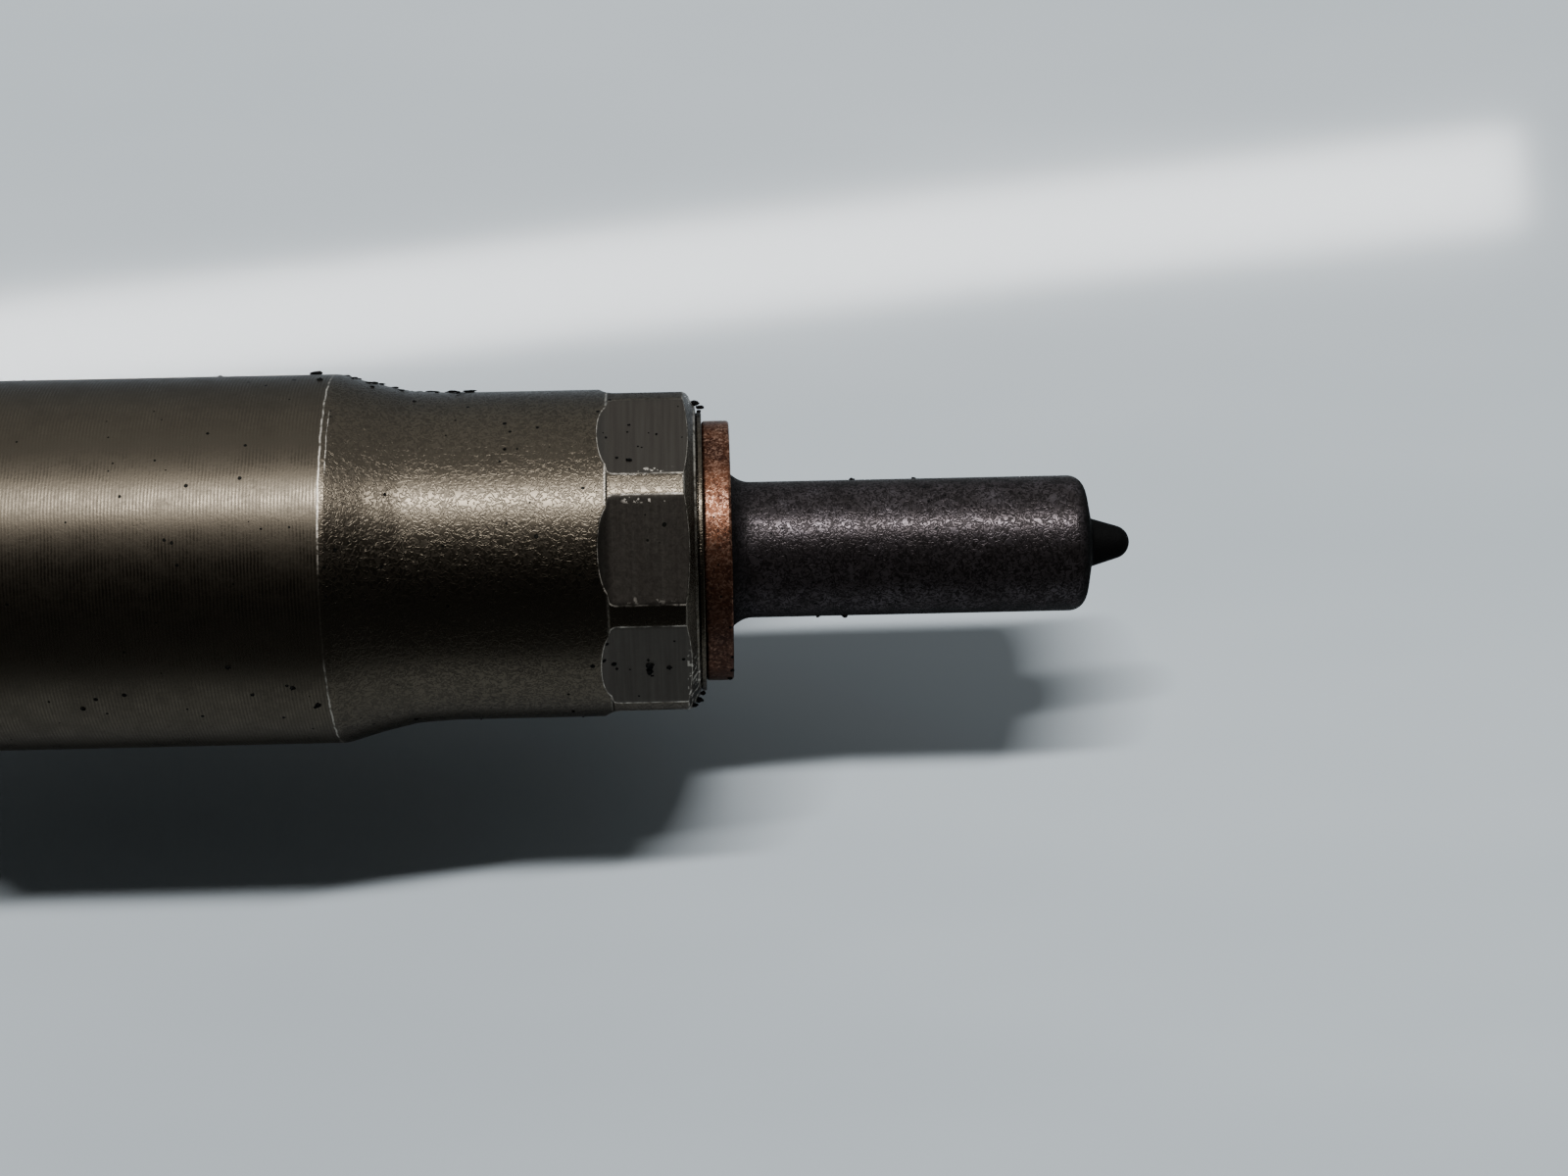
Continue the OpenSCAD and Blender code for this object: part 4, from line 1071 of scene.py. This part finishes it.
def terminal_pins():
    """Two flat blades with tapered tips, and their legs down to the coil."""
    mouth = -span("terminal_pins", axis=1)[0]
    coil = stations("terminal_pins")[0]
    pitch, width, thick, leg_y, leg_r = 5.2, 2.2, 0.8, 6.1, 0.45
    pieces = []
    for side in (-1, 1):
        z0 = side * pitch / 2
        rings = []
        for y, w, t in (
            (leg_y - leg_r, width, thick), (mouth - 1.6, width, thick),
            (mouth - 0.5, width - 0.5, thick - 0.35), (mouth, width - 1.1, thick - 0.6),
        ):
            shape = rounded_rectangle(t, w, min(t, w) * 0.22, 3)
            rings.append([((-PLUG_U + a) * MM, -y * MM, (z0 + b) * MM) for a, b in shape])
        pieces.append(lofted("blade", rings))
        leg = []
        for u in (coil, coil + 0.2, PLUG_U):
            r = leg_r if u > coil else leg_r - 0.15
            leg.append([(-u * MM, (-leg_y + r * math.cos(a)) * MM, (z0 + r * math.sin(a)) * MM)
                        for a in (TAU * k / 20 for k in range(20))])
        pieces[-1] = combine(pieces[-1], lofted("leg", leg), "UNION")
    work = bmesh.new()
    for piece in pieces:
        work.from_mesh(piece.data)
        bpy.data.objects.remove(piece)
    obj = smooth(add_bmesh("terminal_pins", work))
    finish_piece(obj, "terminal_tin", "terminal_pins")


# ---- Springs ----

def coil_rise(t, turns, rise, close):
    """Height of a spring's wire after t of its turns: end turns lie close, the rest is open."""
    if t < 1:
        return close * t
    if t > turns - 1:
        return rise - close * (turns - t)
    return close + (t - 1) * (rise - 2 * close) / (turns - 2)


def spring(node, turns, wire_r):
    """A coil spring of its CAD node's size, with its end turns lying close."""
    low, high = stations(node)
    mean_r = radius_of(node) - wire_r
    rise = high - low - 2 * wire_r
    per_turn, clearance = 40, 0.01
    path = []
    for k in range(int(turns * per_turn) + 1):
        t = k / per_turn
        a = TAU * t
        u = low + wire_r + coil_rise(t, turns, rise, 2.04 * wire_r)
        path.append((-u, mean_r * math.sin(a), mean_r * math.cos(a)))
    obj = smooth(swept_tube(node, path, wire_r * 0.985))
    finish_piece(obj, "spring_steel", node)
    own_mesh(obj)


# ---- Stage ----

def floor():
    """The sheet under the injector: just below the solenoid nut, and rising to the nozzle."""
    clearance, rise = 0.05, 0.006
    contact, low = span("solenoid_nut")[1], span("solenoid_nut", axis=2)[0] - clearance
    bpy.ops.mesh.primitive_plane_add(size=6.0, location=(0, 0, (low - rise * contact) * MM))
    obj = bpy.context.object
    obj.name = "floor"
    obj.rotation_euler = (0, -math.atan(rise), 0)
    obj.data.materials.append(floor_finish())


def camera():
    """Steeply above the nozzle end, a little turned, with a long lens."""
    elevation, yaw, roll = math.radians(74.5), -0.0278, -0.0220
    along, across, distance = -1.528, -2.011, 151.65
    up = Vector((0, math.sin(elevation), math.cos(elevation)))
    back = Vector((0, -math.cos(elevation), math.sin(elevation)))
    right = Vector((1, 0, 0))
    base = Matrix((right, up, back)).transposed()
    turn = Matrix.Rotation(yaw, 3, "Y") @ Matrix.Rotation(roll, 3, "Z")
    data = bpy.data.cameras.new("camera")
    data.sensor_width = 36
    data.lens = 67.5
    data.clip_start = 0.005
    obj = add_object("camera", data)
    place = (right * along + up * across + back * distance) * MM
    obj.matrix_world = Matrix.Translation(place) @ (base @ turn).to_4x4()
    bpy.context.scene.camera = obj


def lights():
    """A tube light behind the vertical, and a room that is bright only low at the back."""
    tube = bpy.data.lights.new("key", "AREA")
    tube.shape = "RECTANGLE"
    tube.size, tube.size_y = 0.74, 0.045
    tube.energy = 16.0
    key = add_object("key", tube)
    key.location = (0.0, 0.4585, 1.0875)
    key.rotation_euler = (math.radians(-22.3), 0, math.radians(5.6))
    world = bpy.data.worlds.new("room")
    bpy.context.scene.world = world
    world.use_nodes = True
    new, link = world.node_tree.nodes.new, world.node_tree.links.new
    world.node_tree.nodes.clear()
    out = new("ShaderNodeOutputWorld")
    background = new("ShaderNodeBackground")
    background.inputs["Color"].default_value = (0.94, 0.98, 1.0, 1)
    way = new("ShaderNodeSeparateXYZ")
    link(new("ShaderNodeTexCoord").outputs["Generated"], way.inputs[0])

    def ramp(value, low, high, to_low, to_high):
        made = new("ShaderNodeMapRange")
        link(value, made.inputs["Value"])
        ends = {"From Min": low, "From Max": high, "To Min": to_low, "To Max": to_high}
        for name, number in ends.items():
            made.inputs[name].default_value = number
        return made.outputs[0]

    glow = new("ShaderNodeMath")
    glow.operation = "MULTIPLY_ADD"
    link(ramp(way.outputs["Y"], 0.05, 0.5, 0.05, 0.9), glow.inputs[0])  # brighter to the back
    link(ramp(way.outputs["Z"], 0.85, 0.45, 0.012, 1.0), glow.inputs[1])  # and low down
    glow.inputs[2].default_value = 0.006  # everywhere
    link(glow.outputs[0], background.inputs["Strength"])
    link(background.outputs[0], out.inputs[0])


# ---- The whole injector ----

def plain_nodes():
    """CAD nodes whose own shape is right take the material of their slot."""
    slots = {p["node"]: p["material_slot"] for p in RECORD["subparts"]}
    for name, obj in frame["nodes"].items():
        obj.data.materials.clear()
        obj.data.materials.append(MATERIALS[slots[name]])
        if not obj.modifiers:
            obj.data.shade_smooth()
            obj.data.set_sharp_from_angle(angle=math.radians(30))


plain_nodes()
nozzle_body()
sealing_washer()
nozzle_nut()
chips()
injector_body()
inlet_seal_ring()
inlet_connector()
solenoid_nut()
connector_housing()
return_stub()
terminal_pins()
spring("nozzle_spring", 10, 0.6)
spring("armature_spring", 5, 0.3)
spring("valve_spring", 7, 0.4)
camera()
floor()
lights()
